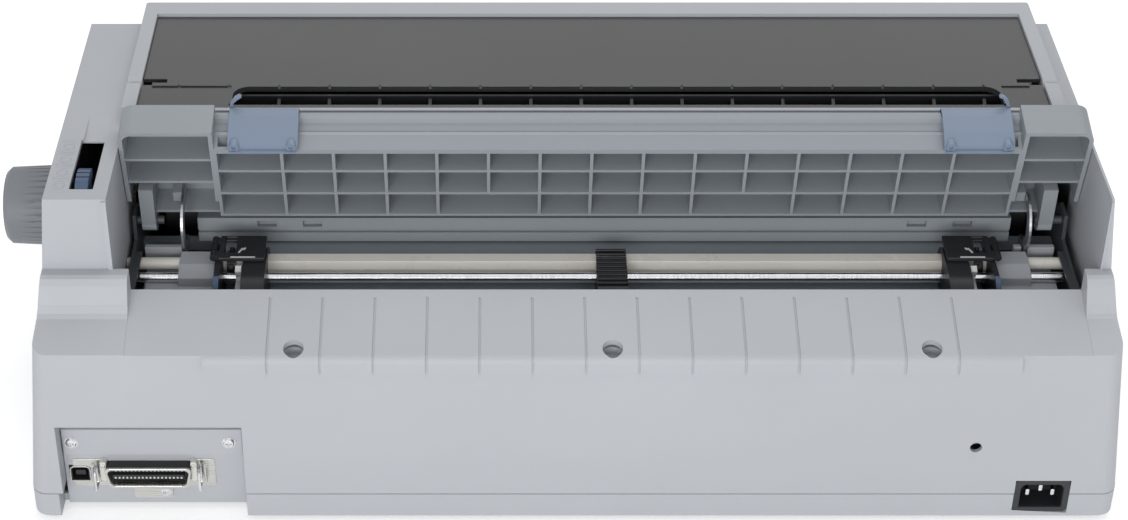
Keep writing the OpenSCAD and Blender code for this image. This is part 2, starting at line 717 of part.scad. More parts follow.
// Outline of the rail along the top of the middle section, as [y, z]
function rail_outline() = [
    [cover_back, rib_u - 3], [cover_back, rib_u], [cover_back - 9, rib_u + 2.6],
    [cover_back - 10, rib_u + 3.8], [cover_back - 11, rib_u + 2.6],
    [cover_face + 5.5, rib_u + 4], [cover_face + 4.5, rail_u - 1.2],
    [cover_face + 3, rail_u], [cover_face + 1, rail_u], [cover_face, rail_u - 1.5],
    [cover_face, rib_u - 3]];

// Outline of an ear as [x, z], inset by t, with its outer top corner rounded
function ear_outline(x, s, low, t) = let (
    r = ear_corner - t, d = s ? -1 : 1, o = s ? x[1] - t : x[0] + t, i = s ? x[0] + t : x[1] - t)
    concat([[i, ear_u - t], [i, low], [o, low]],
        [for (a = [0 : 15 : 90]) [o + d * r * (1 - cos(a)), ear_u - t - r * (1 - sin(a))]]);

ear_corner = 7;
ear_low = 17;
module ear(x, s) {
    ribs = [0.46, 0.705];
    difference() {
        prism_y([cover_face, cover_back], ear_outline(x, s, ear_low, 0));
        prism_y([cover_face + skin_t, cover_back + over], ear_outline(x, s, ear_low - over, skin_t));
    }
    for (r = ribs) box([x[0] + 1, x[1] - 1], [cover_face, cover_back - 1],
        [ear_u * r - rib_t, ear_u * r]);
    // Face and bottom rib between the leg and the middle section
    low_x = s ? [x[0], hinge_legs[1][1]] : [hinge_legs[0][0], x[1]];
    box(low_x, [cover_face, cover_face + skin_t], [rib_low, ear_low + over]);
    box(low_x, [cover_face, cover_back - 3], [rib_low, rib_low + rib_t]);
}

module rear_cover() color(cover_grey) at_rear_hinge() {
    ear_left = [cover_x[0], mid_x[0]];
    ear_right = [mid_x[1], cover_x[1]];
    ear(ear_left, 0);
    ear(ear_right, 1);
    // Middle section: face, frame and ribs
    box([mid_x[0] - 0.5, mid_x[1] + 0.5], [cover_face, cover_face + skin_t], [rib_low, rib_u]);
    difference() {
        prism_x([mid_x[0] - 0.5, mid_x[1] + 0.5], rail_outline());
        // Openings in the top at its ends
        for (x = [[mid_x[0] + 2, mid_x[0] + 12], [mid_x[1] - 13, mid_x[1] - 2]])
            box(x, [cover_back - 8, cover_back - 2], [rib_u - 4, rib_u + 4]);
    }
    for (i = [0 : 2])
        box([mid_x[0] - 0.5, mid_x[1] + 0.5], [cover_face, cover_back],
            [rib_low + i * rib_step, rib_low + i * rib_step + rib_t]);
    for (x = [mid_x[0] - 0.5, mid_x[1] - rib_t + 0.5])
        box([x, x + rib_t], [cover_face, cover_back], [rib_low, rib_u]);
    for (i = [0 : 13]) {
        x = rib_x(i);
        low = (i == 4 || i == 9) ? rib_low + rib_step : rib_low;
        box([x - rib_t / 2, x + rib_t / 2], [cover_face, cover_back], [low, rib_u]);
    }
    // Legs down to the hinge
    for (x = hinge_legs) difference() {
        union() {
            bar_x(x, [0, 0], 6);
            prism_x(x, [[-6, 0], [6, 0], [cover_back, 26], [cover_face, 26], [cover_face, 14]]);
        }
        bar_x([x[0] - over, x[1] + over], [0, 0], 2.5 + fit);
    }
    // Brackets of the stay arms
    for (x = stay_x) box([x + stay_t / 2 + seat, x + 6], [cover_face, cover_back - 6],
        [stay_r - 4, stay_r + 3]);
}
first_rib = 37;
function rib_x(i) = mid_x[1] - first_rib - i * pitch;
hinge_legs = [[mech_x0 + 6, mech_x0 + 14], [mech_x1 - 11, mech_x1 - 3]];
stay_x = [mech_x0 + stay_in[0], mech_x1 - stay_in[1]];
stay_r = 15;
stay_t = 1.6;

// Curved steel stays that turn with the rear cover, about its hinge
module cover_stay_arms() color(steel) at_rear_hinge()
    for (x = stay_x) intersection() {
        difference() {
            bar_x([x - stay_t / 2, x + stay_t / 2], [0, 0], stay_r + 3.5);
            bar_x([x - 2, x + 2], [0, 0], stay_r - 3.5);
        }
        prism_x([x - 2, x + 2], [[0, 0], [-26, 40], [40, 40], [40, -40], [2, -40]]);
    }

// A blue slide that wraps over the rail
module edge_guide(x, s) color(guide_blue) at_rear_hinge() {
    c = 0.4;
    t = 2;
    f = cover_face - c;
    prism_x(x, [[f - t, rib_u + 2], [f - t, rail_u + c - 1.5], [f - t + 2, rail_u + c + t],
        [f + 6, rail_u + c + t], [cover_back - 6, rib_u + 6 + t], [cover_back + 1.2, rib_u + 4.6],
        [cover_back + 1.8, rib_u + 1], [cover_back, rib_u + 0.8], [cover_back - 0.6, rib_u + 3],
        [cover_back - 8, rib_u + 5], [f + 6.5, rib_u + 5], [f + 5.9, rail_u + c],
        [f, rail_u + c], [f, rib_u + 2]]);
    // Hook that the edge of the paper runs along
    translate([s > 0 ? x[1] : x[0], 0, 0]) mirror([s > 0 ? 0 : 1, 0, 0])
        prism_y([f - t - 1.5, f - t + 1], [[0, rib_u + 3], [0, rail_u + 2], [-1, rail_u + 5],
            [-3, rail_u + 8], [-6, rail_u + 10], [-7, rail_u + 9], [-4.4, rail_u + 7],
            [-2.6, rail_u + 4.4], [-1.8, rail_u + 1], [-1.8, rib_u + 3]]);
    // Screw bosses
    for (e = [x[0] + 3.6, x[1] - 3.6]) difference() {
        bar_y([cover_back - 2, cover_back + 2.6], [e, rib_u + 4.2], 2.8);
        bar_y([cover_back + 0.6, cover_back + 3], [e, rib_u + 4.2], 1.3);
    }
    // Lower flange with its two holes
    difference() {
        box([x[0] + 1, x[1] - 1], [cover_back + 0.6, cover_back + 3.8], [rib_u + 0.8, rib_u + 2.2]);
        for (e = [x[0] + 3.4, x[1] - 3.4]) translate([e, cover_back + 2.6, rib_u])
            cylinder(r = 0.7, h = 3);
    }
}
guide_right_x = [mid_x[1] - 8 - edge_guide_w, mid_x[1] - 8];
guide_left_x = [mid_x[0] + 5, mid_x[0] + 5 + edge_guide_w];

module edge_guide_right() edge_guide(guide_right_x, 1);
module edge_guide_left() edge_guide(guide_left_x, -1);

// ---- Tractors ----

module tractor_shaft() color([0.80, 0.77, 0.72]) {
    bearing_r = square_w / 2 - 0.5;
    h = square_w / 2;
    bar_x([plate_left_x, gear_x + gear_w + 1.5], drive, bearing_r);
    box([mech_x0 + bracket_in[0] + 0.5, mech_x1 - bracket_in[1] - 0.5],
        [drive[0] - h, drive[0] + h], [drive[1] - h, drive[1] + h]);
}

module guide_shaft() color([0.85, 0.85, 0.86])
    bar_x([mech_x0 + seat / 2, mech_x1 - seat / 2], guide_at, guide_shaft_r);

// Stepped supports at the ends of the shafts
module shaft_brackets() color(case_grey) {
    g = guide_at;
    bore_r = square_w / 2 - 0.5 + fit;
    base_z = [drive[1] - 20, drive[1] - 11];
    top = drive[1] + bore_r + 2;
    front = [drive[0] - 12.5, drive[0] - 9];
    rear_end = g[0] + 20.5;
    for (s = [0, 1]) {
        wall_x = s ? mech_x1 - seat / 2 : mech_x0 + seat / 2;
        full = inward(wall_x, s, 4, bracket_in[s]);
        difference() {
            union() {
                box(full, [front[0], rear_end], base_z);
                box(inward(wall_x, s, 4, 27), front, [base_z[1] - 0.1, top - 1]);
                prism_x(inward(wall_x, s, bracket_in[s] - 20, bracket_in[s]), [
                    [drive[0] - 4, base_z[1] - 0.1], [drive[0] - 4, top],
                    [drive[0] + 8.5, top], [g[0] + 5.5, g[1] + 3.5],
                    [g[0] + 5.5, base_z[1] - 0.1]]);
                box(inward(wall_x, s, 7, bracket_in[s]), [g[0] - 4, rear_end],
                    [base_z[1] - 0.1, g[1] - 2]);
                // Arm to the side frame
                box(inward(wall_x, s, 0, 5), [g[0] + 8, g[0] + 14], base_z);
            }
            bar_x([wall_x - 50, wall_x + 50], drive, bore_r);
            bar_x([wall_x - 50, wall_x + 50], g, guide_shaft_r);
            // Room for the stay arm
            box([stay_x[s] - stay_t / 2 - 1, stay_x[s] + stay_t / 2 + 1],
                [front[0] - over, drive[0] - 4.5], [base_z[1], top + over]);
        }
    }
}

wheel_r = 7.3;
pin_tip_r = 9.3;
tractor_end_r = 12;
tractor_axis_z = square_shaft_z - 2;
tractor_top = tractor_axis_z + tractor_end_r;
tractor_y = [drive[0] + 2, guide_at[0] + 13];
door_z = tractor_top + gap;
door_t = 2.5;
door_pin_r = 1;

// The range from a to b, measured outward from the middle x of a tractor on side m
function outward(x, m, a, b) = m > 0 ? [x + a, x + b] : [x - b, x - a];

// Where a tractor's door turns, as [x, z]
function door_axis(x, m) = [x + m * (tractor_w / 2 + 1.5), door_z + door_t / 2];

module tractor_side(x)
    stadium_x(x, [tractor_y[0], tractor_axis_z], [tractor_y[1], tractor_axis_z], tractor_end_r);

module tractor_frame(x, m) color(soot) {
    h = tractor_w / 2;
    axis = door_axis(x, m);
    difference() {
        union() {
            tractor_side(outward(x, m, -h, -1));
            tractor_side(outward(x, m, h - 3, h));
            // Floor between the two sides
            box(outward(x, m, -2, h - 2), [tractor_y[1] - 6, tractor_y[1] + 2],
                [tractor_axis_z - tractor_end_r, tractor_axis_z - tractor_end_r + 3]);
        }
        bar_x([x - h - over, x + h + over], guide_at, guide_shaft_r + fit);
        bar_x([x - h - over, x + h + over], drive, square_w / 2 * 1.4143 + 0.6);
    }
    // Hinge lug and pin of the door
    lug_y = [drive[0] - 0.5, guide_at[0] - 7];
    bar_y(lug_y, axis, 2);
    box(outward(x, m, h - 0.5, h + 1.5), lug_y, [axis[1] - 2, axis[1] - 0.2]);
    bar_y([drive[0] - 6, guide_at[0] - 1], axis, door_pin_r);
}

module tractor_door(x, m) color(soot) {
    h = tractor_w / 2;
    axis = door_axis(x, m);
    difference() {
        union() {
            box(outward(x, m, -h + 1, h - 1.5), [drive[0] - 9, guide_at[0] + 1],
                [door_z, door_z + door_t]);
            for (y = [[drive[0] - 7, drive[0] - 1], [guide_at[0] - 6.5, guide_at[0] - 0.5]]) {
                bar_y(y, axis, 2);
                box(outward(x, m, h - 2, h + 1.5), y, [door_z, door_z + door_t]);
            }
        }
        bar_y([drive[0] - 8, guide_at[0] + 1], axis, door_pin_r + fit);
        // Slot for the pins
        box(outward(x, m, 3.4, 9.6), [drive[0] - 7.5, drive[0] + 7.5],
            [door_z - over, door_z + door_t + over]);
    }
}

// White lock lever that clamps a tractor on the guide shaft
module tractor_lock(x, m) color([0.86, 0.86, 0.84]) {
    w = outward(x, m, -0.6, 3);
    hub_r = guide_shaft_r + 2.6;
    difference() {
        union() {
            bar_x(w, guide_at, hub_r);
            translate([0, guide_at[0], guide_at[1]]) {
                rotate([60, 0, 0]) box(w, [0, 12], [-2, 2]);
                rotate([-5, 0, 0]) box(w, [0, 15], [-2.2, 2.2]);
            }
        }
        bar_x([w[0] - over, w[1] + over], guide_at, guide_shaft_r + fit);
    }
}

module pin_wheel(x, m) color([0.15, 0.15, 0.16]) {
    w = outward(x, m, 4, 9);
    h = square_w / 2 + 0.15;
    pins = 8;
    difference() {
        union() {
            bar_x(w, drive, wheel_r);
            translate([(w[0] + w[1]) / 2, drive[0], drive[1]])
                for (i = [0 : pins - 1]) rotate([(i + 0.5) * 360 / pins, 0, 0])
                    translate([0, 0, wheel_r - 1]) cylinder(r = 1.3, h = pin_tip_r - wheel_r + 1);
        }
        box([w[0] - over, w[1] + over], [drive[0] - h, drive[0] + h],
            [drive[1] - h, drive[1] + h]);
    }
}

module tractor_frame_right() tractor_frame(tractor_right_x, 1);
module tractor_frame_left() tractor_frame(tractor_left_x, -1);
module tractor_door_right() tractor_door(tractor_right_x, 1);
module tractor_door_left() tractor_door(tractor_left_x, -1);
module tractor_lock_right() tractor_lock(tractor_right_x, 1);
module tractor_lock_left() tractor_lock(tractor_left_x, -1);
module pin_wheel_right() pin_wheel(tractor_right_x, 1);
module pin_wheel_left() pin_wheel(tractor_left_x, -1);

// Middle support that keeps the paper level between the tractors
module paper_support() color(soot) {
    w = 17;
    x = [support_x - w / 2, support_x + w / 2];
    teeth = 9;
    difference() {
        union() {
            stadium_x(x, [drive[0], tractor_axis_z - 2],
                [guide_at[0] + 14, tractor_axis_z - 2], 10);
            for (i = [0 : teeth - 1])
                box([x[0], x[1]], [drive[0] - 4 + i * 4, drive[0] - 2.4 + i * 4],
                    [tractor_axis_z + 4, tractor_axis_z + 9.5]);
        }
        bar_x([x[0] - over, x[1] + over], guide_at, guide_shaft_r + fit);
        bar_x([x[0] - over, x[1] + over], drive, square_w / 2 * 1.4143 + 0.6);
    }
}

// ---- Paper path in front of the tractors ----

path_x = [mech_x0 + bracket_in[0] + 1, mech_x1 - bracket_in[1] - 1];
guide_bar_x = [stay_x[0] + 6, stay_x[1] - 6];
bar_y_range = [rear_hinge[0] - 18, rear_hinge[0] - 4.5];

// Ribbed bar that the rear cover hangs over
module paper_guide_bar() color(cover_grey) {
    z = [square_shaft_z - 2, rear_hinge[1] - 2];
    notch_x = [path_x[0] + 12, path_x[0] + 38, path_x[1] - 26, path_x[1] - 52];
    notch_w = 11;
    difference() {
        box(guide_bar_x, bar_y_range, z);
        for (x = notch_x)
            box([x - notch_w / 2, x + notch_w / 2], [bar_y_range[1] - 3, bar_y_range[1] + over],
                [z[1] - 6, z[1] - 2]);
        // Step along the middle of the rear face
        box([guide_bar_x[0] - over, guide_bar_x[1] + over],
            [bar_y_range[1] - 2, bar_y_range[1] + over], [z[1] - 10, z[1] - 8]);
    }
    for (i = [-2 : 2])
        box([mech_cx + i * 90 - 4, mech_cx + i * 90 + 4], [bar_y_range[0] + 3, bar_y_range[0] + 9],
            [chute_z(bar_y_range[0] + 9), z[0]]);
}

mech_cx = (mech_x0 + mech_x1) / 2;
chute_y = [platen_at[0] + 22, drive[0] - 11.5];
chute_rise = 9;
chute_top = square_shaft_z - 4;
chute_floor = [square_shaft_z - 17, square_shaft_z - 15.4];
// Top of the chute at y: level behind, falling towards the platen
function chute_z(y) = chute_top - chute_rise * pow(max(0, chute_y[0] + 20 - y) / 20, 2);

// Pale chute that leads the paper down to the platen
module paper_chute() color([0.80, 0.79, 0.76]) {
    steps = 8;
    edge = [for (i = [0 : steps]) chute_y[0] + i * (chute_y[1] - chute_y[0]) / steps];
    prism_x(path_x, concat([for (y = edge) [y, chute_z(y)]],
        [for (i = [steps : -1 : 0]) [edge[i], chute_z(edge[i]) - 1.6]]));
    // Cross bar between the side frames, and the floor under the tractors
    box([mech_x0 + seat / 2, mech_x1 - seat / 2], [bar_y_range[0] + 3, bar_y_range[0] + 9],
        [chute_top - 7.5, chute_top - 1.6]);
    box(path_x, [bar_y_range[0] + 8, shoulder_y - 4], chute_floor);
    box(path_x, [bar_y_range[0] + 7.5, bar_y_range[0] + 9], [chute_floor[0], chute_top - 1.6]);
}

// ---- Platen and feed train ----

knob_x = [side_x(platen_z - knob_r) + 1.5, case_w / 2 + knob_reach];

module platen() color([0.12, 0.12, 0.13]) {
    x = [mech_x0 + 9, mech_x1 - 9];
    difference() {
        bar_x(x, platen_at, platen_r);
        bar_x([x[0] - over, x[1] + over], platen_at, platen_shaft_r);
    }
}

module platen_shaft() color(steel)
    bar_x([plate_left_x - 3, knob_x[1] - 9], platen_at, platen_shaft_r);

// Angle between a point on an involute and its start, in degrees
function involute(a) = tan(a) * 180 / PI - a;

// Outline of a gear with a tooth centred on the angle at
function gear_outline(n, at) = let (
    rp = gear_m * n / 2, rb = rp * cos(20), rr = rp - 1.2 * gear_m, rt = rp + 0.85 * gear_m,
    play = 0.13 / rp * 180 / PI, half = 90 / n + involute(20) - play,
    r = [max(rb, rr + 0.05), (max(rb, rr) + rp) / 2, rp, (rp + rt) / 2, rt],
    w = [for (q = r) half - involute(acos(min(1, rb / q)))])
    [for (i = [0 : n - 1]) let (c = at + i * 360 / n)
        each concat([rr * [cos(c - w[0]), sin(c - w[0])]],
            [for (k = [0 : 4]) r[k] * [cos(c - w[k]), sin(c - w[k])]],
            [for (k = [4 : -1 : 0]) r[k] * [cos(c + w[k]), sin(c + w[k])]],
            [rr * [cos(c + w[0]), sin(c + w[0])]])];

module gear(n, at, middle, bore, hub_r) {
    x = [gear_x, gear_x + gear_w];
    difference() {
        union() {
            translate([0, middle[0], middle[1]]) prism_x(x, gear_outline(n, at));
            bar_x([x[0] - 0.6, x[1]], middle, hub_r);
        }
        bar_x([x[0] - 2, x[1] + over], middle, bore);
    }
}

module platen_gear() color([0.85, 0.85, 0.82])
    gear(platen_teeth, gear_line_deg, platen_at, platen_shaft_r, platen_shaft_r + 3);
module idler_gear() color([0.85, 0.85, 0.82])
    gear(idler_teeth, gear_line_deg + 180 + 180 / idler_teeth, idler_at, 3 + fit, 6);
module tractor_gear() color([0.85, 0.85, 0.82])
    gear(tractor_teeth, gear_line_deg + 180, drive, square_w / 2 - 0.5,
        square_w / 2 + 2);

motor_r = 17;
motor_l = 26;
module feed_motor() color([0.20, 0.21, 0.22]) difference() {
    union() {
        bar_x([plate_right_x - motor_l, plate_right_x], pinion_at, motor_r);
        box([plate_right_x - 3, plate_right_x], [pinion_at[0] - 24, pinion_at[0] + 24],
            [pinion_at[1] - 8, pinion_at[1] + 8]);
    }
    bar_x([plate_right_x - 10, plate_right_x + over], pinion_at, 1.5 + fit);
}

module feed_pinion() color([0.75, 0.62, 0.32]) {
    gear(pinion_teeth, pinion_deg + 180, pinion_at, 1.5, 3);
    bar_x([plate_right_x - 9, gear_x + gear_w], pinion_at, 1.5);
}

module platen_knob() color([0.43, 0.44, 0.45]) {
    l = knob_x[1] - knob_x[0];
    ribs = 36;
    translate([knob_x[0], platen_at[0], platen_at[1]]) rotate([0, 90, 0]) difference() {
        rotate_extrude() polygon([[0, 0], [knob_r - 1, 0], [knob_r, 1], [knob_r, 3.5],
            [knob_r - 1, 4.5], [knob_r - 2.2, l - 2.5], [knob_r - 4.5, l], [knob_r - 8, l],
            [knob_r - 9, l - 1.5], [0, l - 1.5]]);
        for (i = [0 : ribs - 1]) rotate(i * 360 / ribs) translate([knob_r, 0, 5])
            linear_extrude(l) polygon([[-1.9, -0.4], [over, -1.7], [over, 1.7], [-1.9, 0.4]]);
        translate([0, 0, -over]) cylinder(r = platen_shaft_r, h = l - 9 + over);
    }
}

// ---- Print mechanism ----

carriage_x = [mech_cx - carriage_w / 2, mech_cx + carriage_w / 2];
carriage_z = [rod_at[1] - 12, rod_at[1] + 12];
belt_at = [rod_at[0] - 27, rod_at[1] - 6];
pulley_run = (mech_x1 - mech_x0) / 2 - 37;
belt_w = 6;
belt_t = 1.2;
belt_y = [belt_at[0] - belt_w / 2, belt_at[0] + belt_w / 2];

module carriage_rod() color([0.82, 0.83, 0.84])
    bar_x([mech_x0 + seat / 2, mech_x1 - seat / 2], rod_at, rod_r);

module carriage() color(soot) {
    belt_top = belt_at[1] + pulley_r + 0.3 + belt_t;
    difference() {
        box(carriage_x, [rod_at[0] - 18, rod_at[0] + 20], carriage_z);
        bar_x([carriage_x[0] - over, carriage_x[1] + over], rod_at, rod_r + fit);
        box([mech_cx - 12, mech_cx + 12], [rod_at[0] + 8, rod_at[0] + 21],
            [carriage_z[0] - over, carriage_z[1] - 6]);
    }
    // Clamp over the belt
    box([mech_cx - 10, mech_cx + 10], [belt_y[0] - 1, rod_at[0] - 17.5],
        [belt_top + 0.3, belt_top + 4]);
}

module print_head() color([0.25, 0.26, 0.27]) {
    z0 = carriage_z[1];
    fins = 6;
    // Nose with the pin guide, facing the platen
    box([mech_cx - 8, mech_cx + 8], [rod_at[0] + 14, platen_at[0] - platen_r - 2.2],
        [z0, platen_at[1] + 6]);
    box([mech_cx - 17, mech_cx + 17], [rod_at[0] - 2, rod_at[0] + 14.5], [z0, z0 + 30]);
    for (i = [0 : fins - 1])
        box([mech_cx - 17, mech_cx + 17], [rod_at[0] - 16, rod_at[0] - 1.5],
            [z0 + 1 + i * 5, z0 + 3 + i * 5]);
}

module carriage_belt() color(soot) {
    r = pulley_r + 0.3;
    difference() {
        union() {
            for (s = [-1, 1]) bar_y(belt_y, [mech_cx + s * pulley_run, belt_at[1]], r + belt_t);
            box([mech_cx - pulley_run, mech_cx + pulley_run], belt_y,
                [belt_at[1] - r - belt_t, belt_at[1] + r + belt_t]);
        }
        cut = [belt_y[0] - over, belt_y[1] + over];
        for (s = [-1, 1]) bar_y(cut, [mech_cx + s * pulley_run, belt_at[1]], r);
        box([mech_cx - pulley_run, mech_cx + pulley_run], cut,
            [belt_at[1] - r, belt_at[1] + r]);
    }
}

module pulley(s) {
    at = [mech_cx + s * pulley_run, belt_at[1]];
    y = [belt_y[0] - 0.2, belt_y[1] + 0.2];
    bar_y(y, at, pulley_r);
    bar_y([y[0] - 1, y[0]], at, pulley_r + 3);
    bar_y([y[1], y[1] + 1], at, pulley_r + 3);
}

module drive_pulley() color(steel) {
    pulley(-1);
    bar_y([belt_y[0] - 11, belt_y[0]], [mech_cx - pulley_run, belt_at[1]], 2);
}

module idler_pulley() color(steel) difference() {
    pulley(1);
    bar_y([belt_y[0] - 4, belt_y[1] + 4], [mech_cx + pulley_run, belt_at[1]], 2.5 + fit);
}

module carriage_motor() color([0.20, 0.21, 0.22]) {
    at = [mech_cx - pulley_run, belt_at[1]];
    face = belt_y[0] - 3;
    difference() {
        union() {
            bar_y([face - 36, face], at, motor_r);
            box([at[0] - motor_r, at[0] + motor_r], [face - 30, face], [chassis_top, at[1]]);
        }
        bar_y([face - 10, face + over], at, 2 + fit);
    }
}

// Cartridge across the printer, with two arms that stretch the ribbon before the platen
module ribbon_cartridge() color([0.08, 0.08, 0.09]) {
    reach = carriage_travel + 30;
    z = [platen_z - 2, platen_z + 20];
    to_rod = 38;
    cartridge_d = 40;
    y = [rod_at[0] - to_rod - cartridge_d, rod_at[0] - to_rod];
    box([mech_cx - reach - 12, mech_cx + reach + 12], y, z);
    for (s = [-1, 1]) {
        x = s > 0 ? [mech_cx + reach, mech_cx + reach + 12] : [mech_cx - reach - 12, mech_cx - reach];
        box(x, [y[1] - over, platen_at[0] - platen_r - 2], [z[0], z[0] + 10]);
    }
    // Ribbon
    box([mech_cx - reach - 2, mech_cx + reach + 2],
        [platen_at[0] - platen_r - 2.01, platen_at[0] - platen_r - 1.4], [z[0] - 3, z[0] + 9]);
    // Tabs on the side frames
    box([mech_x0 + seat, mech_x1 - seat], [y[0] + 14, y[0] + 26], [z[0] + 6, z[0] + 14]);
}

lever_x = [lever_slot_x[0] + 3, lever_slot_x[1] - 3];
module release_lever() color([0.28, 0.36, 0.50]) {
    pad_y = [lever_slot_y[1] - 20, lever_slot_y[1] - gap];
    pad_z = deck_z + 3;
    mid = (pad_y[0] + pad_y[1]) / 2;
    difference() {
        union() {
            bar_x(lever_x, lever_at, 7);
            prism_x(lever_x, [[lever_at[0] - 5, lever_at[1]], [lever_at[0] + 6, lever_at[1]],
                [mid + 5, deck_z - 6], [pad_y[1], deck_z - 4], [pad_y[1], deck_z],
                [pad_y[1] - 5, pad_z - 0.6], [mid, pad_z], [pad_y[0] + 4, pad_z - 0.4],
                [pad_y[0], deck_z + 0.5], [pad_y[0], deck_z - 4], [mid - 5, deck_z - 6]]);
        }
        bar_x([lever_x[0] - over, lever_x[1] + over], lever_at, 3 + fit);
        for (i = [0 : 3])
            box([lever_x[0] - over, lever_x[1] + over],
                [pad_y[0] + 3.4 + i * 4, pad_y[0] + 4.4 + i * 4], [pad_z - 1.4, pad_z + over]);
    }
}

// ---- Connectors at the rear ----

panel_y = [recess_y - 2, recess_y - 0.2];
parallel_at = [parallel_x, case_z + 24];
usb_at = [usb_x, case_z + 21.7];
bail_reach = parallel_w / 2 + 5.7;
bail_half_h = 6.6;

module parallel_shell(grow, y) {
    w = parallel_w / 2 + grow;
    h = 6.2 + grow;
    prism_y(y, [[-w, -h + 2], [-w + 2, -h], [w - 2, -h], [w, -h + 2], [w, h], [-w, h]]);
}

module interface_panel() color(case_grey) difference() {
    box([recess_x[0] + seat, recess_x[1] - seat], panel_y, [case_z, recess_z - seat]);
    translate([parallel_at[0], 0, parallel_at[1]])
        parallel_shell(seat, [panel_y[0] - over, panel_y[1] + over]);
    box([usb_at[0] - usb_w / 2 - seat, usb_at[0] + usb_w / 2 + seat],
        [panel_y[0] - over, panel_y[1] + over], [usb_at[1] - 5.7, usb_at[1] + 5.7]);
    for (x = screw_x) bar_y([panel_y[0] - over, panel_y[1] + over], [x, screw_z], 1.6);
}

screw_x = [recess_x[0] + 8.8, recess_x[1] - 5.7];
screw_z = case_z + 45;

// Blank plate over the slot for a further interface
module slot_cover() color(case_grey) {
    z = [screw_z - 9, screw_z + 9];
    difference() {
        box([recess_x[0] + 1.5, recess_x[1] - 1], [panel_y[1], panel_y[1] + 1.6], z);
        for (x = screw_x) bar_y([panel_y[1] - over, panel_y[1] + 3], [x, screw_z], 1.6);
    }
}

board_z = [chassis_top + 5, chassis_top + 6.6];

module parallel_socket() color([0.72, 0.73, 0.74]) translate([parallel_at[0], 0, parallel_at[1]]) {
    contacts = 18;
    step = 2.16;
    difference() {
        parallel_shell(0, [panel_y[0] - 6, panel_y[1] + 8]);
        parallel_shell(-1.4, [panel_y[0] - 1, panel_y[1] + 9]);
    }
    // Tongue with its two rows of contacts
    box([-step * contacts / 2 - 1, step * contacts / 2 + 1], [panel_y[0] - 1.5, panel_y[1] + 6.5],
        [-1.6, 1.6]);
    for (i = [0 : contacts - 1], s = [-1, 1])
        box([(i - (contacts - 1) / 2) * step - 0.5, (i - (contacts - 1) / 2) * step + 0.5],
            [panel_y[0] - 1, panel_y[1] + 6], [s > 0 ? 1.5 : -1.9, s > 0 ? 1.9 : -1.5]);
    // Body down to the board
    box([-parallel_w / 2 - socket_flange, parallel_w / 2 + socket_flange],
        [panel_y[0] - 8, panel_y[0] - seat],
        [board_z[1] - parallel_at[1], 9]);
    // Ears that hold the wire bails
    for (s = [-1, 1]) translate([s * bail_reach, 0, 0]) difference() {
        box([-3.5, 3.5], [panel_y[1], panel_y[1] + 4.5], [-5, 5]);
        box([-1.5, 1.5], [panel_y[1] + 1, panel_y[1] + 5], [-6, 6]);
    }
}

module usb_socket() color([0.72, 0.73, 0.74]) {
    x = [usb_at[0] - usb_w / 2, usb_at[0] + usb_w / 2];
    z = [usb_at[1] - 5.4, usb_at[1] + 5.4];
    difference() {
        box(x, [panel_y[0] - 13, panel_y[1] + 0.8], z);
        box([x[0] + 1.8, x[1] - 1.8], [panel_y[1] - 8, panel_y[1] + 2], [z[0] + 1.6, z[1] - 1.6]);
    }
    box([usb_at[0] - 2.8, usb_at[0] + 2.8], [panel_y[1] - 9, panel_y[1]],
        [usb_at[1] - 1.6, usb_at[1] + 1.6]);
    box([x[0] + 1, x[1] - 1], [panel_y[0] - 12, panel_y[0] - 2], [board_z[1], z[0] + 0.5]);
}

// Wire loop that clips over a plug, hinged in its ears, standing open
module wire_bail(s) color([0.80, 0.81, 0.82]) {
    x = parallel_at[0] + s * bail_reach;
    y = panel_y[1] + 3;
    z = parallel_at[1];
    r = 0.8;
    for (e = [-1, 1]) bar_y([y - r, y + 8 + r], [x, z + e * bail_half_h], r);
    for (at = [y, y + 8])
        translate([x, at, z - bail_half_h]) cylinder(r = r - 0.1, h = 2 * bail_half_h);
}
module wire_bail_right() wire_bail(1);
module wire_bail_left() wire_bail(-1);

// An [x, z] outline about c with half sizes w and h, its corners cut by a below, b above
function cut_box(c, w, h, a, b) = [for (p = [[-w, a - h], [a - w, -h], [w - a, -h], [w, a - h],
    [w, h - b], [w - b, h], [b - w, h], [-w, h - b]]) c + p];

module power_inlet() color([0.16, 0.17, 0.18]) {
    c = inlet_at;
    hw = inlet_w / 2;
    hh = inlet_h / 2;
    difference() {
        union() {
            prism_y([rear_y - 20, rear_y - seat], cut_box(c, hw, hh, 2, 2));
            box([c[0] - hw - 3, c[0] + hw + 3], [rear_y - wall - 2, rear_y - wall - seat / 2],
                [parting_z + gap, c[1] + hh - 1]);
        }
        prism_y([rear_y - 16, rear_y + over], cut_box(c, hw - 3, hh - 2.8, 0.4, 3.6));
    }
    // Contacts
    for (p = [[-7, -0.5], [0, 2.5], [7, -0.5]])
        box([c[0] + p[0] - 1, c[0] + p[0] + 1], [rear_y - 17, rear_y - 3.5],
            [c[1] + p[1] - 2, c[1] + p[1] + 2]);
}

// ---- Inside the base ----

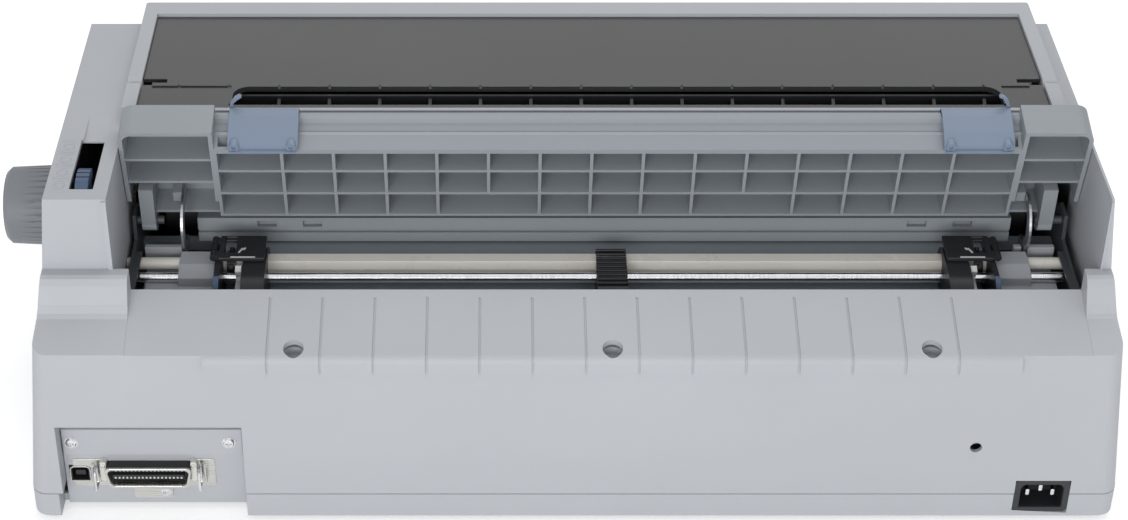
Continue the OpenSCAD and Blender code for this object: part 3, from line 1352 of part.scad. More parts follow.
module main_board() color([0.10, 0.34, 0.20]) {
    y = [platen_at[0] - 29, recess_y - 5.5];
    main_x = [mech_cx, plate_right_x - 4];
    difference() {
        union() {
            box(main_x, y, board_z);
            box([recess_x[0] - 98, recess_x[1] - 1], [shoulder_y - 6, y[1]], board_z);
        }
        box([plate_right_x - 2, plate_right_x + plate_t + 2], [0, shoulder_y - 4],
            [board_z[0] - over, board_z[1] + over]);
    }
    // Stand-offs, chips and capacitors
    for (x = [main_x[0] + 12, main_x[1] - 12], py = [y[0] + 12, shoulder_y - 20])
        translate([x, py, chassis_top]) cylinder(r = 3, h = board_z[0] - chassis_top);
    for (i = [0 : 3]) box([main_x[0] + 30 + i * 48, main_x[0] + 60 + i * 48],
        [y[0] + 40, y[0] + 54], [board_z[1], board_z[1] + 3]);
    for (i = [0 : 4]) translate([main_x[0] + 36 + i * 38, y[0] + 90, board_z[1]])
        cylinder(r = 6, h = 18);
}

module power_supply() color(steel) {
    supply_w = 124;
    supply_h = 46;
    x = [mech_x0 + 6, mech_x0 + 6 + supply_w];
    y = [platen_at[0] - 9, shoulder_y - 12];
    box(x, y, [chassis_top, chassis_top + supply_h]);
    for (i = [0 : 4]) box([x[0] + 12 + i * 22, x[0] + 26 + i * 22], [y[0] + 20, y[1] - 20],
        [chassis_top + supply_h - 0.5, chassis_top + supply_h + 3]);
}

// ---- Controls on the front ----

module at_ledge() translate([0, (slope_low[0] + ledge_low[0]) / 2, (slope_low[1] + ledge_low[1]) / 2])
    rotate([atan2(ledge_rise, ledge_run), 0, 0]) children();

button_x = case_w / 4;
module button_shape(i, grow, depth) at_ledge()
    box([button_x + i * (button_w + 10) - button_w / 2 - grow,
        button_x + i * (button_w + 10) + button_w / 2 + grow],
        [-5 - grow, 5 + grow], [-depth, 3]);

// Overlay with the button openings and a bridge behind the buttons
module control_panel() color([0.34, 0.36, 0.39]) difference() {
    at_ledge() box([button_x - 70, button_x + 70], [-10, 10], [0, 1.2]);
    for (i = [-1 : 1]) button_shape(i, gap, 6);
}

module push_button(i) color([0.75, 0.76, 0.78]) button_shape(i, 0, 6);
module button_left() push_button(-1);
module button_middle() push_button(0);
module button_right() push_button(1);

switch_at = [-case_w / 2 + 60, front_y + 6, 46];
switch_w = 16;
switch_pin_at = [switch_at[1] + 3, switch_at[2]];
switch_pin_r = 1.5;
module switch_opening()
    box([switch_at[0] - switch_w / 2 - gap, switch_at[0] + switch_w / 2 + gap],
        [front_y - over, front_y + 16], [switch_at[2] - 12, switch_at[2] + 12]);

// Rocker of the power switch, with a stub pin at each side
module power_switch() color(soot) {
    prism_x([switch_at[0] - switch_w / 2, switch_at[0] + switch_w / 2], [
        [switch_at[1] + 6, switch_at[2] - 9], [switch_at[1] - 2.4, switch_at[2] - 10],
        [switch_at[1] - 1, switch_at[2]], [switch_at[1] + 1.6, switch_at[2] + 10],
        [switch_at[1] + 6, switch_at[2] + 9]]);
    pin_l = switch_w / 2 + gap + 2.5;
    bar_x([switch_at[0] - pin_l, switch_at[0] + pin_l], switch_pin_at, switch_pin_r);
}

// Screws of the slot cover, the earth tab and its screw
module fasteners() color([0.78, 0.79, 0.80]) {
    for (x = screw_x) {
        bar_y([panel_y[1] + 1.6, panel_y[1] + 3.4], [x, screw_z], 3.5);
        bar_y([panel_y[0] - 5, panel_y[1] + 1.6], [x, screw_z], 1.6);
    }
    tab_z = case_z + 9;
    tab_x = parallel_at[0] - 8;
    box([tab_x - 4, tab_x + 18], [panel_y[1], panel_y[1] + 1], [tab_z - 5, tab_z + 5]);
    bar_y([panel_y[1] + 1, panel_y[1] + 2.8], [tab_x, tab_z], 3);
}

module put() translate([-knob_reach / 2, -lip_out / 2, 0]) children();

put() lower_case();
put() upper_case();
put() rubber_feet();
put() chassis_plate();
put() side_frame_right();
put() side_frame_left();
put() printer_cover();
put() smoked_window();
put() exit_cover();
put() exit_rib_guide();
put() rear_cover();
put() edge_guide_right();
put() edge_guide_left();
put() cover_stay_arms();
put() tractor_shaft();
put() tractor_gear();
put() guide_shaft();
put() shaft_brackets();
put() tractor_frame_right();
put() tractor_frame_left();
put() tractor_door_right();
put() tractor_door_left();
put() tractor_lock_right();
put() tractor_lock_left();
put() pin_wheel_right();
put() pin_wheel_left();
put() paper_support();
put() paper_guide_bar();
put() paper_chute();
put() platen();
put() platen_shaft();
put() platen_gear();
put() idler_gear();
put() feed_motor();
put() feed_pinion();
put() platen_knob();
put() carriage_rod();
put() carriage();
put() print_head();
put() carriage_belt();
put() drive_pulley();
put() idler_pulley();
put() carriage_motor();
put() ribbon_cartridge();
put() release_lever();
put() interface_panel();
put() slot_cover();
put() parallel_socket();
put() usb_socket();
put() wire_bail_right();
put() wire_bail_left();
put() power_inlet();
put() main_board();
put() power_supply();
put() control_panel();
put() button_left();
put() button_middle();
put() button_right();
put() power_switch();
put() fasteners();
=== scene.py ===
"""Looks of a wide-carriage dot matrix printer: finishes, rounded edges, trim, light and camera.

Everything is in metres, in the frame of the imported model: +X is the knob side, +Y the rear, +Z up.
"""

import json
import math

import bmesh
import bpy
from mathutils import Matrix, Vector
from mathutils.kdtree import KDTree


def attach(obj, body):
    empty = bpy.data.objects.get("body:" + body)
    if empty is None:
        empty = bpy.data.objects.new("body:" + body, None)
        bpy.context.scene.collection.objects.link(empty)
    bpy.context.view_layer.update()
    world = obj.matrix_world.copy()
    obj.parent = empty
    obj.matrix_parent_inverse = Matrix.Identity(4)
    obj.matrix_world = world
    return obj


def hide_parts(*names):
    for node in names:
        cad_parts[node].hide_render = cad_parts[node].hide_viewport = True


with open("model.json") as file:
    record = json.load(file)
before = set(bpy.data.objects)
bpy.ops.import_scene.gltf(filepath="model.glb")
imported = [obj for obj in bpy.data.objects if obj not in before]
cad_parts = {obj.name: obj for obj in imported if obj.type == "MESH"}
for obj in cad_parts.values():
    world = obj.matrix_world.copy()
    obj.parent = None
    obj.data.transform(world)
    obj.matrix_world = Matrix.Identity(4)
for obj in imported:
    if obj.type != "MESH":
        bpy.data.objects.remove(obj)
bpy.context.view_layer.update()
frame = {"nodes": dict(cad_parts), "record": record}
NODES = frame["nodes"]
MM = 0.001


# ---- Camera: the photograph's viewpoint, 35 degrees above the rear of the printer ----

IMAGE_W = 1128
FOCAL_PX = 2371
PRINCIPAL_X = 495
SENSOR = 36
PITCH = math.radians(35)
CAMERA_AT = Vector((0.0293, 1.20775, 0.8847))


def add_camera():
    data = bpy.data.cameras.new("photo_camera")
    data.sensor_width = SENSOR
    data.lens = FOCAL_PX / IMAGE_W * SENSOR
    data.shift_x = (IMAGE_W / 2 - PRINCIPAL_X) / IMAGE_W
    data.clip_start = 0.05
    camera = bpy.data.objects.new("photo_camera", data)
    camera.location = CAMERA_AT
    camera.rotation_euler = (math.pi / 2 - PITCH, 0, math.pi)
    bpy.context.scene.collection.objects.link(camera)
    bpy.context.scene.camera = camera


# ---- Materials ----


def linear(red, green, blue):
    """A linear colour from the 0 to 255 values that a screen shows."""

    def straight(value):
        return value / 12.92 if value <= 0.04045 else ((value + 0.055) / 1.055) ** 2.4

    return tuple(straight(c / 255) for c in (red, green, blue)) + (1,)


class Finish:
    """A material's node tree, with short calls for the nodes that the finishes share."""

    def __init__(self, name):
        self.material = bpy.data.materials.new(name)
        self.material.use_nodes = True
        self.nodes = self.material.node_tree.nodes
        self.links = self.material.node_tree.links
        self.shader = self.nodes["Principled BSDF"]
        self.place = self.add("ShaderNodeTexCoord").outputs["Object"]

    def add(self, kind):
        return self.nodes.new(kind)

    def link(self, source, target):
        self.links.new(source, target)

    def drive(self, name, source):
        """Lets a value drive the shader's input of that name."""
        self.link(source, self.shader.inputs[name])

    def noise(self, scale, detail, stretch=(1, 1, 1)):
        """A noise value; scale is in waves per metre, and stretch squeezes it along an axis."""
        place = self.place
        if stretch != (1, 1, 1):
            mapping = self.add("ShaderNodeMapping")
            mapping.inputs["Scale"].default_value = stretch
            self.link(place, mapping.inputs["Vector"])
            place = mapping.outputs["Vector"]
        node = self.add("ShaderNodeTexNoise")
        node.inputs["Scale"].default_value = scale
        node.inputs["Detail"].default_value = detail
        self.link(place, node.inputs["Vector"])
        return node.outputs["Fac"]

    def ramp(self, value, stops):
        """A colour ramp with (position, colour) stops."""
        node = self.add("ShaderNodeValToRGB")
        ends = node.color_ramp.elements
        while len(ends) < len(stops):
            ends.new(0.5)
        for end, (position, colour) in zip(ends, stops):
            end.position = position
            end.color = colour
        self.link(value, node.inputs["Fac"])
        return node.outputs["Color"]

    def spread(self, value, low, high):
        """value, remapped from the middle of a noise to the range from low to high."""
        node = self.add("ShaderNodeMapRange")
        node.inputs["From Min"].default_value = 0.3
        node.inputs["From Max"].default_value = 0.7
        node.inputs["To Min"].default_value = low
        node.inputs["To Max"].default_value = high
        self.link(value, node.inputs["Value"])
        return node.outputs["Result"]

    def bump(self, value, height, strength):
        """Relief of the given height in metres."""
        node = self.add("ShaderNodeBump")
        node.inputs["Strength"].default_value = strength
        node.inputs["Distance"].default_value = height
        self.link(value, node.inputs["Height"])
        self.drive("Normal", node.outputs["Normal"])

    def colour(self, base, mottle, scale=9):
        """The base colour, varied by mottle of its value in soft clouds."""
        dark = tuple(c * (1 - mottle) for c in base[:3]) + (1,)
        light = tuple(min(1, c * (1 + mottle)) for c in base[:3]) + (1,)
        clouds = self.noise(scale, 4)
        self.drive("Base Color", self.ramp(clouds, [(0.3, dark), (0.7, light)]))

    def roughness(self, low, high, scale=30):
        self.drive("Roughness", self.spread(self.noise(scale, 4), low, high))


def moulded(name, base, rough):
    """Injection-moulded plastic with a fine spark-eroded texture."""
    finish = Finish(name)
    finish.colour(base, 0.02)
    finish.roughness(rough - 0.05, rough + 0.05)
    finish.bump(finish.noise(1400, 2), 0.00006, 0.5)
    finish.shader.inputs["Specular IOR Level"].default_value = 0.4
    return finish.material


def sheet_metal(name, base, rough, grain=(3, 90, 90)):
    """Rolled or drawn metal, with fine lines along one axis."""
    finish = Finish(name)
    finish.shader.inputs["Metallic"].default_value = 1
    lines = finish.noise(18, 6, grain)
    dark = tuple(c * 0.85 for c in base[:3]) + (1,)
    finish.drive("Base Color", finish.ramp(lines, [(0.35, dark), (0.65, base)]))
    finish.drive("Roughness", finish.spread(lines, rough - 0.07, rough + 0.07))
    finish.bump(lines, 0.00002, 0.4)
    return finish.material


def painted(name, base, rough=0.45):
    """Painted or lacquered metal with a slight orange peel."""
    finish = Finish(name)
    finish.colour(base, 0.05, 20)
    finish.roughness(rough - 0.06, rough + 0.06, 60)
    finish.bump(finish.noise(420, 2), 0.00004, 0.4)
    return finish.material


def soft_rubber(name, base, rough=0.75):
    """Matt rubber with a ground surface and a trace of dust."""
    finish = Finish(name)
    finish.colour(base, 0.12, 45)
    finish.roughness(rough - 0.1, rough + 0.08, 80)
    finish.bump(finish.noise(900, 4), 0.00008, 0.6)
    return finish.material


def smoked(name, base):
    """Smoked clear plastic that lets a little of the inside through."""
    finish = Finish(name)
    finish.colour(base, 0.06, 5)
    finish.roughness(0.19, 0.27, 14)
    finish.bump(finish.noise(700, 2), 0.00002, 0.3)
    finish.shader.inputs["Alpha"].default_value = 0.9
    finish.shader.inputs["Coat Weight"].default_value = 0.3
    finish.shader.inputs["Coat Roughness"].default_value = 0.12
    return finish.material


def circuit_board(name, base):
    """Green solder mask with lighter copper tracks under it."""
    finish = Finish(name)
    tracks = finish.noise(160, 0, (1, 6, 1))
    copper = tuple(c * 1.7 for c in base[:3]) + (1,)
    finish.drive("Base Color", finish.ramp(tracks, [(0.48, base), (0.52, copper)]))
    finish.roughness(0.25, 0.4, 60)
    finish.bump(tracks, 0.00005, 0.5)
    return finish.material


FINISHES = {
    "case_plastic": moulded("case_plastic", linear(184, 187, 192), 0.5),
    "cover_plastic": moulded("cover_plastic", linear(150, 156, 161), 0.48),
    "smoked_plastic": smoked("smoked_plastic", linear(62, 62, 63)),
    "black_plastic": moulded("black_plastic", linear(40, 41, 43), 0.42),
    "blue_plastic": moulded("blue_plastic", linear(128, 142, 162), 0.42),
    "lever_blue": moulded("lever_blue", linear(72, 90, 118), 0.4),
    "knob_plastic": moulded("knob_plastic", linear(127, 130, 135), 0.5),
    "foot_rubber": soft_rubber("foot_rubber", linear(38, 38, 40)),
    "platen_rubber": soft_rubber("platen_rubber", linear(34, 35, 36), 0.6),
    "steel_sheet": sheet_metal("steel_sheet", linear(190, 192, 196), 0.35),
    "dark_sheet": painted("dark_sheet", linear(72, 75, 78)),
    "bright_steel": sheet_metal("bright_steel", linear(225, 226, 228), 0.16, (60, 4, 4)),
    "square_steel": painted("square_steel", linear(252, 246, 236), 0.3),
    "gear_plastic": moulded("gear_plastic", linear(222, 220, 212), 0.4),
    "white_plastic": moulded("white_plastic", linear(214, 216, 214), 0.4),
    "pale_sheet": painted("pale_sheet", linear(158, 166, 173), 0.4),
    "brass": sheet_metal("brass", linear(205, 175, 100), 0.3),
    "motor_black": painted("motor_black", linear(48, 50, 53), 0.4),
    "belt_rubber": soft_rubber("belt_rubber", linear(30, 30, 31)),
    "connector_steel": sheet_metal("connector_steel", linear(205, 204, 200), 0.28),
    "inlet_plastic": moulded("inlet_plastic", linear(48, 50, 53), 0.35),
    "board_green": circuit_board("board_green", linear(38, 96, 62)),
    "panel_grey": moulded("panel_grey", linear(88, 93, 99), 0.45),
    "button_grey": moulded("button_grey", linear(190, 193, 197), 0.45),
}


def dress_nodes():
    """Gives each CAD node the finish of its material slot."""
    for part in frame["record"]["subparts"]:
        mesh = NODES[part["node"]].data
        mesh.materials.clear()
        mesh.materials.append(FINISHES[part["material_slot"]])


# ---- Rounded edges on the moulded and pressed pieces ----


def round_edges(piece, width, segments, angle, group=""):
    """Rounds the edges sharper than angle, in degrees, or those of a vertex group."""
    bevel = piece.modifiers.new("round", "BEVEL")
    bevel.width = width
    bevel.segments = segments
    bevel.limit_method = "VGROUP" if group else "ANGLE"
    bevel.vertex_group = group
    bevel.angle_limit = math.radians(angle)
    bevel.use_clamp_overlap = True
    bevel.harden_normals = True


def smooth_normals(piece):
    normals = piece.modifiers.new("normals", "WEIGHTED_NORMAL")
    normals.keep_sharp = True


def mark_roomy(piece, room):
    """Groups the corners whose edges are all longer than room, once the faces are merged."""
    graph = bpy.context.evaluated_depsgraph_get()
    merged = piece.evaluated_get(graph).to_mesh()
    shortest = [room] * len(merged.vertices)
    for edge in merged.edges:
        ends = [merged.vertices[i].co for i in edge.vertices]
        length = (ends[0] - ends[1]).length
        for i in edge.vertices:
            shortest[i] = min(shortest[i], length)
    places = [v.co.copy() for v, length in zip(merged.vertices, shortest) if length >= room]
    tree = KDTree(len(places) + 1)
    for i, place in enumerate(places):
        tree.insert(place, i)
    tree.insert((9, 9, 9), len(places))
    tree.balance()
    group = piece.vertex_groups.new(name="roomy")
    near = [v.index for v in piece.data.vertices if tree.find(v.co)[2] < 1e-5]
    group.add(near, 1, "REPLACE")


# In degrees: faces flatter than the first merge, and edges sharper than the others are rounded
FLAT_ANGLE = 0.8
NODE_ANGLE = 28
PIECE_ANGLE = 30
# A corner takes the wide rounding when its edges are at least this many widths long
ROOM = 2.4


def soften(node, width):
    """Rounds a CAD node's edges: widely where there is room, finely round its small features."""
    piece = NODES[node]
    weld = piece.modifiers.new("weld", "WELD")
    weld.merge_threshold = 1e-6
    flat = piece.modifiers.new("flat", "DECIMATE")
    flat.decimate_type = "DISSOLVE"
    flat.angle_limit = math.radians(FLAT_ANGLE)
    mark_roomy(piece, ROOM * width)
    round_edges(piece, width, 4, NODE_ANGLE, "roomy")
    round_edges(piece, width / 3, 2, NODE_ANGLE)
    smooth_normals(piece)


# Rounding widths in millimetres; the nodes that pieces below replace need none
EDGE_RADII = {
    "upper_case": 1.6, "lower_case": 1.2, "printer_cover": 1.6, "smoked_window": 0.5,
    "exit_cover": 0.35, "exit_rib_guide": 0.3, "rear_cover": 0.5, "edge_guide_right": 0.6,
    "edge_guide_left": 0.6, "cover_stay_arms": 0.2, "side_frame_right": 0.3,
    "side_frame_left": 0.3, "chassis_plate": 0.3, "tractor_shaft": 0.35, "shaft_brackets": 0.8,
    "tractor_frame_right": 0.8, "tractor_frame_left": 0.8, "tractor_door_right": 0.6,
    "tractor_door_left": 0.6, "tractor_lock_right": 0.4, "tractor_lock_left": 0.4,
    "pin_wheel_right": 0.25, "pin_wheel_left": 0.25, "paper_support": 0.5,
    "paper_guide_bar": 0.6, "paper_chute": 0.3, "platen": 0.6, "platen_shaft": 0.4,
    "platen_knob": 0.4, "release_lever": 0.6, "interface_panel": 0.3, "slot_cover": 0.3,
    "carriage": 0.6, "print_head": 0.4, "ribbon_cartridge": 0.3, "control_panel": 0.3,
    "button_left": 0.6, "button_middle": 0.6, "button_right": 0.6, "power_switch": 0.6,
    "power_supply": 0.5, "feed_motor": 0.5, "carriage_motor": 0.5,
}


def soften_nodes():
    for node, radius in EDGE_RADII.items():
        soften(node, radius * MM)


# ---- Building pieces: sizes and places below are in millimetres in the frame ----


def add_loop(shape, axis, level, outline):
    """Adds the points of an outline across an axis (0, 1 or 2), at a level along it."""
    across = [i for i in range(3) if i != axis]
    loop = []
    for point in outline:
        place = [0, 0, 0]
        place[axis] = level * MM
        for i, value in zip(across, point):
            place[i] = value * MM
        loop.append(shape.verts.new(place))
    return loop


def add_prism(shape, axis, low, high, outline):
    """Adds a straight prism: a closed outline across an axis, drawn out along it."""
    first = add_loop(shape, axis, low, outline)
    last = add_loop(shape, axis, high, outline)
    shape.faces.new(first)
    shape.faces.new(last[::-1])
    count = len(outline)
    for i in range(count):
        j = (i + 1) % count
        shape.faces.new((first[i], last[i], last[j], first[j]))


def add_ring(shape, axis, low, high, outer, inner):
    """Adds a straight sleeve between two outlines with the same number of points."""
    corners = ((outer, low), (outer, high), (inner, high), (inner, low))
    loops = [add_loop(shape, axis, level, outline) for outline, level in corners]
    count = len(outer)
    for a, b in zip(loops, loops[1:] + loops[:1]):
        for i in range(count):
            j = (i + 1) % count
            shape.faces.new((a[i], b[i], b[j], a[j]))


def rounded(centre, half_w, half_h, radii, steps=5, insets=(0, 0, 0, 0)):
    """A rectangle's outline; radii are of the corners low-left, low-right, high-right, high-left.

    insets move those corners in across the width.
    """
    outline = []
    for k, (sx, sy) in enumerate(((-1, -1), (1, -1), (1, 1), (-1, 1))):
        radius = radii[k]
        x = centre[0] + sx * (half_w - insets[k] - radius)
        y = centre[1] + sy * (half_h - radius)
        for i in range(steps + 1):
            turn = math.pi * (1 + k / 2 + i / steps / 2)
            outline.append((x + radius * math.cos(turn), y + radius * math.sin(turn)))
    return outline


def add_turned(shape, axis, centre, profile, steps=32):
    """Adds a turned form about an axis; profile is its (radius, level) points."""
    rings = []
    for radius, level in profile:
        turns = [2 * math.pi * i / steps for i in range(steps if radius > 0 else 1)]
        circle = [(centre[0] + radius * math.cos(turn), centre[1] + radius * math.sin(turn))
                  for turn in turns]
        rings.append(add_loop(shape, axis, level, circle))
    for a, b in zip(rings, rings[1:]):
        for i in range(steps):
            j = (i + 1) % steps
            corners = [a[i % len(a)], b[i % len(b)], b[j % len(b)], a[j % len(a)]]
            shape.faces.new(list(dict.fromkeys(corners)))
    for ring in (rings[0], rings[-1]):
        if len(ring) > 1:
            shape.faces.new(ring)


def add_wire_loop(shape, path, radius, steps=12):
    """Adds a closed loop of round wire along a path of points."""
    points = [Vector(p) for p in path]
    count = len(points)
    rings = []
    side = None
    for k, point in enumerate(points):
        along = (points[(k + 1) % count] - points[k - 1]).normalized()
        if side is None:
            side = along.orthogonal().normalized()
        side = (side - along * side.dot(along)).normalized()
        up = along.cross(side)
        ring = []
        for i in range(steps):
            turn = 2 * math.pi * i / steps
            place = point + radius * (math.cos(turn) * side + math.sin(turn) * up)
            ring.append(shape.verts.new(place * MM))
        rings.append(ring)
    for a, b in zip(rings, rings[1:] + rings[:1]):
        for i in range(steps):
            j = (i + 1) % steps
            shape.faces.new((a[i], b[i], b[j], a[j]))


def add_piece(name, body, slot, build, width=0, replaced=(), cutter=None):
    """Makes a piece with build(shape), rounds its edges by width and lets it ride on a body."""
    piece = add_mesh(name, build)
    if cutter:
        cut(piece, add_mesh(name + "_cutter", cutter))
    piece.data.materials.append(FINISHES[slot])
    if width:
        round_edges(piece, width * MM, 2, PIECE_ANGLE)
        smooth_normals(piece)
    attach(piece, body)
    if replaced:
        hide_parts(*replaced)


def add_mesh(name, build):
    shape = bmesh.new()
    build(shape)
    bmesh.ops.recalc_face_normals(shape, faces=shape.faces)
    mesh = bpy.data.meshes.new(name)
    shape.to_mesh(mesh)
    shape.free()
    piece = bpy.data.objects.new(name, mesh)
    bpy.context.scene.collection.objects.link(piece)
    return piece


def cut(piece, cutter):
    """Takes the cutter's form out of a piece for good, and removes the cutter."""
    step = piece.modifiers.new("cut", "BOOLEAN")
    step.operation = "DIFFERENCE"
    step.solver = "EXACT"
    step.use_self = True
    step.object = cutter
    graph = bpy.context.evaluated_depsgraph_get()
    mesh = bpy.data.meshes.new_from_object(piece.evaluated_get(graph))
    piece.modifiers.clear()
    piece.data = mesh
    bpy.data.objects.remove(cutter)


# ---- Connectors at the rear ----

# Rear face of the interface panel, and the centres of the connectors as (x, z)
PANEL_Y = 187.55
PARALLEL_AT = (222.5, 27)
USB_AT = (261.5, 24.7)
INLET_AT = (-275.5, 18)
# Contacts of the parallel socket, and how far its end blocks and bail ears lie from its centre
CONTACTS = 18
CONTACT_PITCH = 2.16
END_OUT = 25.2
EAR_OUT = 29


def screw_profile(radius, height, shank, depth):
    """A pan head that stands on a level, with its shank below, as (radius, level) from the top."""
    crown = [(0, height), (radius * 0.45, height - 0.1), (radius * 0.8, height * 0.78)]
    return crown + [(radius, height * 0.35), (radius, 0), (shank, 0), (shank, -depth), (0, -depth)]


def add_screw(name, body, at, level, radius=3.1, height=1.8, shank=1.6, depth=6.0, ring=3.8):
    """A cross-head screw along Y at (x, z), with its head on a level and a flange under it."""
    profile = [(r, level + 0.4 + y) for r, y in screw_profile(radius, height - 0.4, shank, depth)]
    profile[-3:-3] = [(ring, level + 0.4), (ring, level)]
    profile[-3] = (shank, level)

    def cross(shape):
        top = level + height + 0.2
        for half_w, half_h in ((0.36, radius * 0.6), (radius * 0.6, 0.36)):
            outline = rounded(at, half_w, half_h, [0.2] * 4, 2)
            add_prism(shape, 1, top - 1.2, top, outline)

    def head(shape):
        add_turned(shape, 1, at, profile)

    add_piece(name, body, "bright_steel", head, cutter=cross)


def shell_outline(grow):
    """The parallel socket's outline, wide above and narrower below, grown all round."""
    radii, insets = (3.2, 3.2, 2.6, 2.6), (1.1, 1.1, 0, 0)
    return rounded(PARALLEL_AT, 23.3 + grow, 6.2 + grow, radii, 4, insets)


def add_parallel_socket():
    x, z = PARALLEL_AT

    def shell(shape):
        add_ring(shape, 1, PANEL_Y - 7.8, PANEL_Y + 7.0, shell_outline(0), shell_outline(-0.8))
        add_ring(shape, 1, PANEL_Y + 6.4, PANEL_Y + 7.8, shell_outline(0.7), shell_outline(-0.7))

    def core(shape):
        add_prism(shape, 1, PANEL_Y - 7.5, PANEL_Y + 0.5, shell_outline(-0.9))
        block = rounded((x, z - 0.5), 29, 8.4, [0.5] * 4, 2)
        add_prism(shape, 1, PANEL_Y - 9.8, PANEL_Y - 2.2, block)
        add_prism(shape, 1, PANEL_Y, PANEL_Y + 6.4, rounded((x, z), 20, 1.5, [0.6] * 4, 3))
        # A black sleeve over the outside of the shell, from the panel to short of its rim, darkening
        # the shell's top
        add_ring(shape, 1, PANEL_Y, PANEL_Y + 6.3, shell_outline(0.6), shell_outline(0.05))

    def contacts(shape):
        for i in range(CONTACTS):
            across = x + (i - (CONTACTS - 1) / 2) * CONTACT_PITCH
            for side in (-1, 1):
                bar = rounded((across, z + side * 1.62), 0.42, 0.24, [0.1] * 4, 2)
                add_prism(shape, 1, PANEL_Y + 0.3, PANEL_Y + 3.4, bar)
            end = rounded((across, z - 0.3), 0.5, 0.55, [0.3] * 4, 2)
            add_prism(shape, 1, PANEL_Y + 5.9, PANEL_Y + 6.65, end)

    def ends(shape):
        for side in (-1, 1):
            outline = rounded((x + side * END_OUT, z + 2.4), 1.7, 6.6, [1.2] * 4)
            add_prism(shape, 1, PANEL_Y, PANEL_Y + 4.6, outline)

    def ears(shape):
        for side in (-1, 1):
            at = x + side * EAR_OUT
            for edge in (-1, 1):
                centre = (at + edge * 2.5, PANEL_Y + 2.3)
                cheek = rounded(centre, 0.9, 2.25, [0.3, 0.3, 0.8, 0.8], 3)
                add_prism(shape, 2, z - 5, z + 5, cheek)
            foot = rounded((at, PANEL_Y + 0.45), 3.3, 0.4, [0.2] * 4, 2)
            add_prism(shape, 2, z - 5, z + 5, foot)

    add_piece("parallel_shell", "base", "connector_steel", shell, 0.25, ["parallel_socket"])
    add_piece("parallel_core", "base", "black_plastic", core, 0.12)
    add_piece("parallel_contacts", "base", "white_plastic", contacts)
    add_piece("parallel_ends", "base", "gear_plastic", ends, 0.3)
    add_piece("bail_ears", "base", "connector_steel", ears, 0.15)
    for name, side in (("right", 1), ("left", -1)):
        at = (x + side * END_OUT, z + 6.3)
        add_screw(f"socket_screw_{name}", "base", at, PANEL_Y + 4.6, 1.3, 0.9, 0.7, 4, 1.5)


def add_usb_socket():
    def outline(grow):
        radii = [radius + grow for radius in (0.6, 0.6, 2.6, 2.6)]
        return rounded(USB_AT, 5.6 + grow, 5.2 + grow, radii, 4)

    def shell(shape):
        add_ring(shape, 1, PANEL_Y - 12.5, PANEL_Y + 0.95, outline(0.35), outline(-0.4))

    def core(shape):
        add_ring(shape, 1, PANEL_Y - 12, PANEL_Y + 0.6, outline(-0.45), outline(-1.0))
        add_prism(shape, 1, PANEL_Y - 12, PANEL_Y - 8.5, outline(-0.5))
        add_prism(shape, 1, PANEL_Y - 9, PANEL_Y - 0.6, rounded(USB_AT, 2.8, 1.6, [0.3] * 4, 2))

    add_piece("usb_shell", "base", "connector_steel", shell, 0.12, ["usb_socket"])
    add_piece("usb_core", "base", "black_plastic", core, 0.1)


def add_connector_plate():
    """The pressed steel plate behind the sockets, with its earth tab."""

    def plate(shape):
        sheet = rounded((225.6, 25.4), 39.8, 9.6, [2, 2, 1, 1])
        add_prism(shape, 1, PANEL_Y, PANEL_Y + 0.6, sheet)
        tab = rounded((221.5, 11.8), 11, 4.8, [2.4, 2.4, 0.5, 0.5])
        add_prism(shape, 1, PANEL_Y + 0.02, PANEL_Y + 0.95, tab)

    def openings(shape):
        x, z = PARALLEL_AT
        parallel = rounded((x, z + 1), 23.6, 7.4, [2] * 4)
        usb = rounded(USB_AT, 6.0, 5.6, [1, 1, 3, 3])
        for outline in (parallel, usb):
            add_prism(shape, 1, PANEL_Y - 1, PANEL_Y + 0.8, outline)

    add_piece("connector_plate", "base", "connector_steel", plate, 0.2, ["fasteners"], openings)
    add_screw("earth_screw", "base", (214.5, 12), PANEL_Y + 0.95, 2.6, 1.5, 1.4, 5, 3.0)
    for name, at in (("right", 264.3), ("left", 176.8)):
        add_screw(f"slot_screw_{name}", "base", (at, 48), PANEL_Y + 1.6)


def add_bails():
    """Wire loops that hold a plug, each in one piece with its pivot."""
    x, z = PARALLEL_AT
    for name, side in (("right", 1), ("left", -1)):
        loop = rounded((PANEL_Y + 7, z), 4.0, 6.6, [1.6] * 4, 5)
        path = [(x + side * EAR_OUT, y, level) for y, level in loop]

        def wire(shape):
            add_wire_loop(shape, path, 0.75)

        node = f"wire_bail_{name}"
        add_piece(f"bail_{name}", node, "bright_steel", wire, 0, [node])


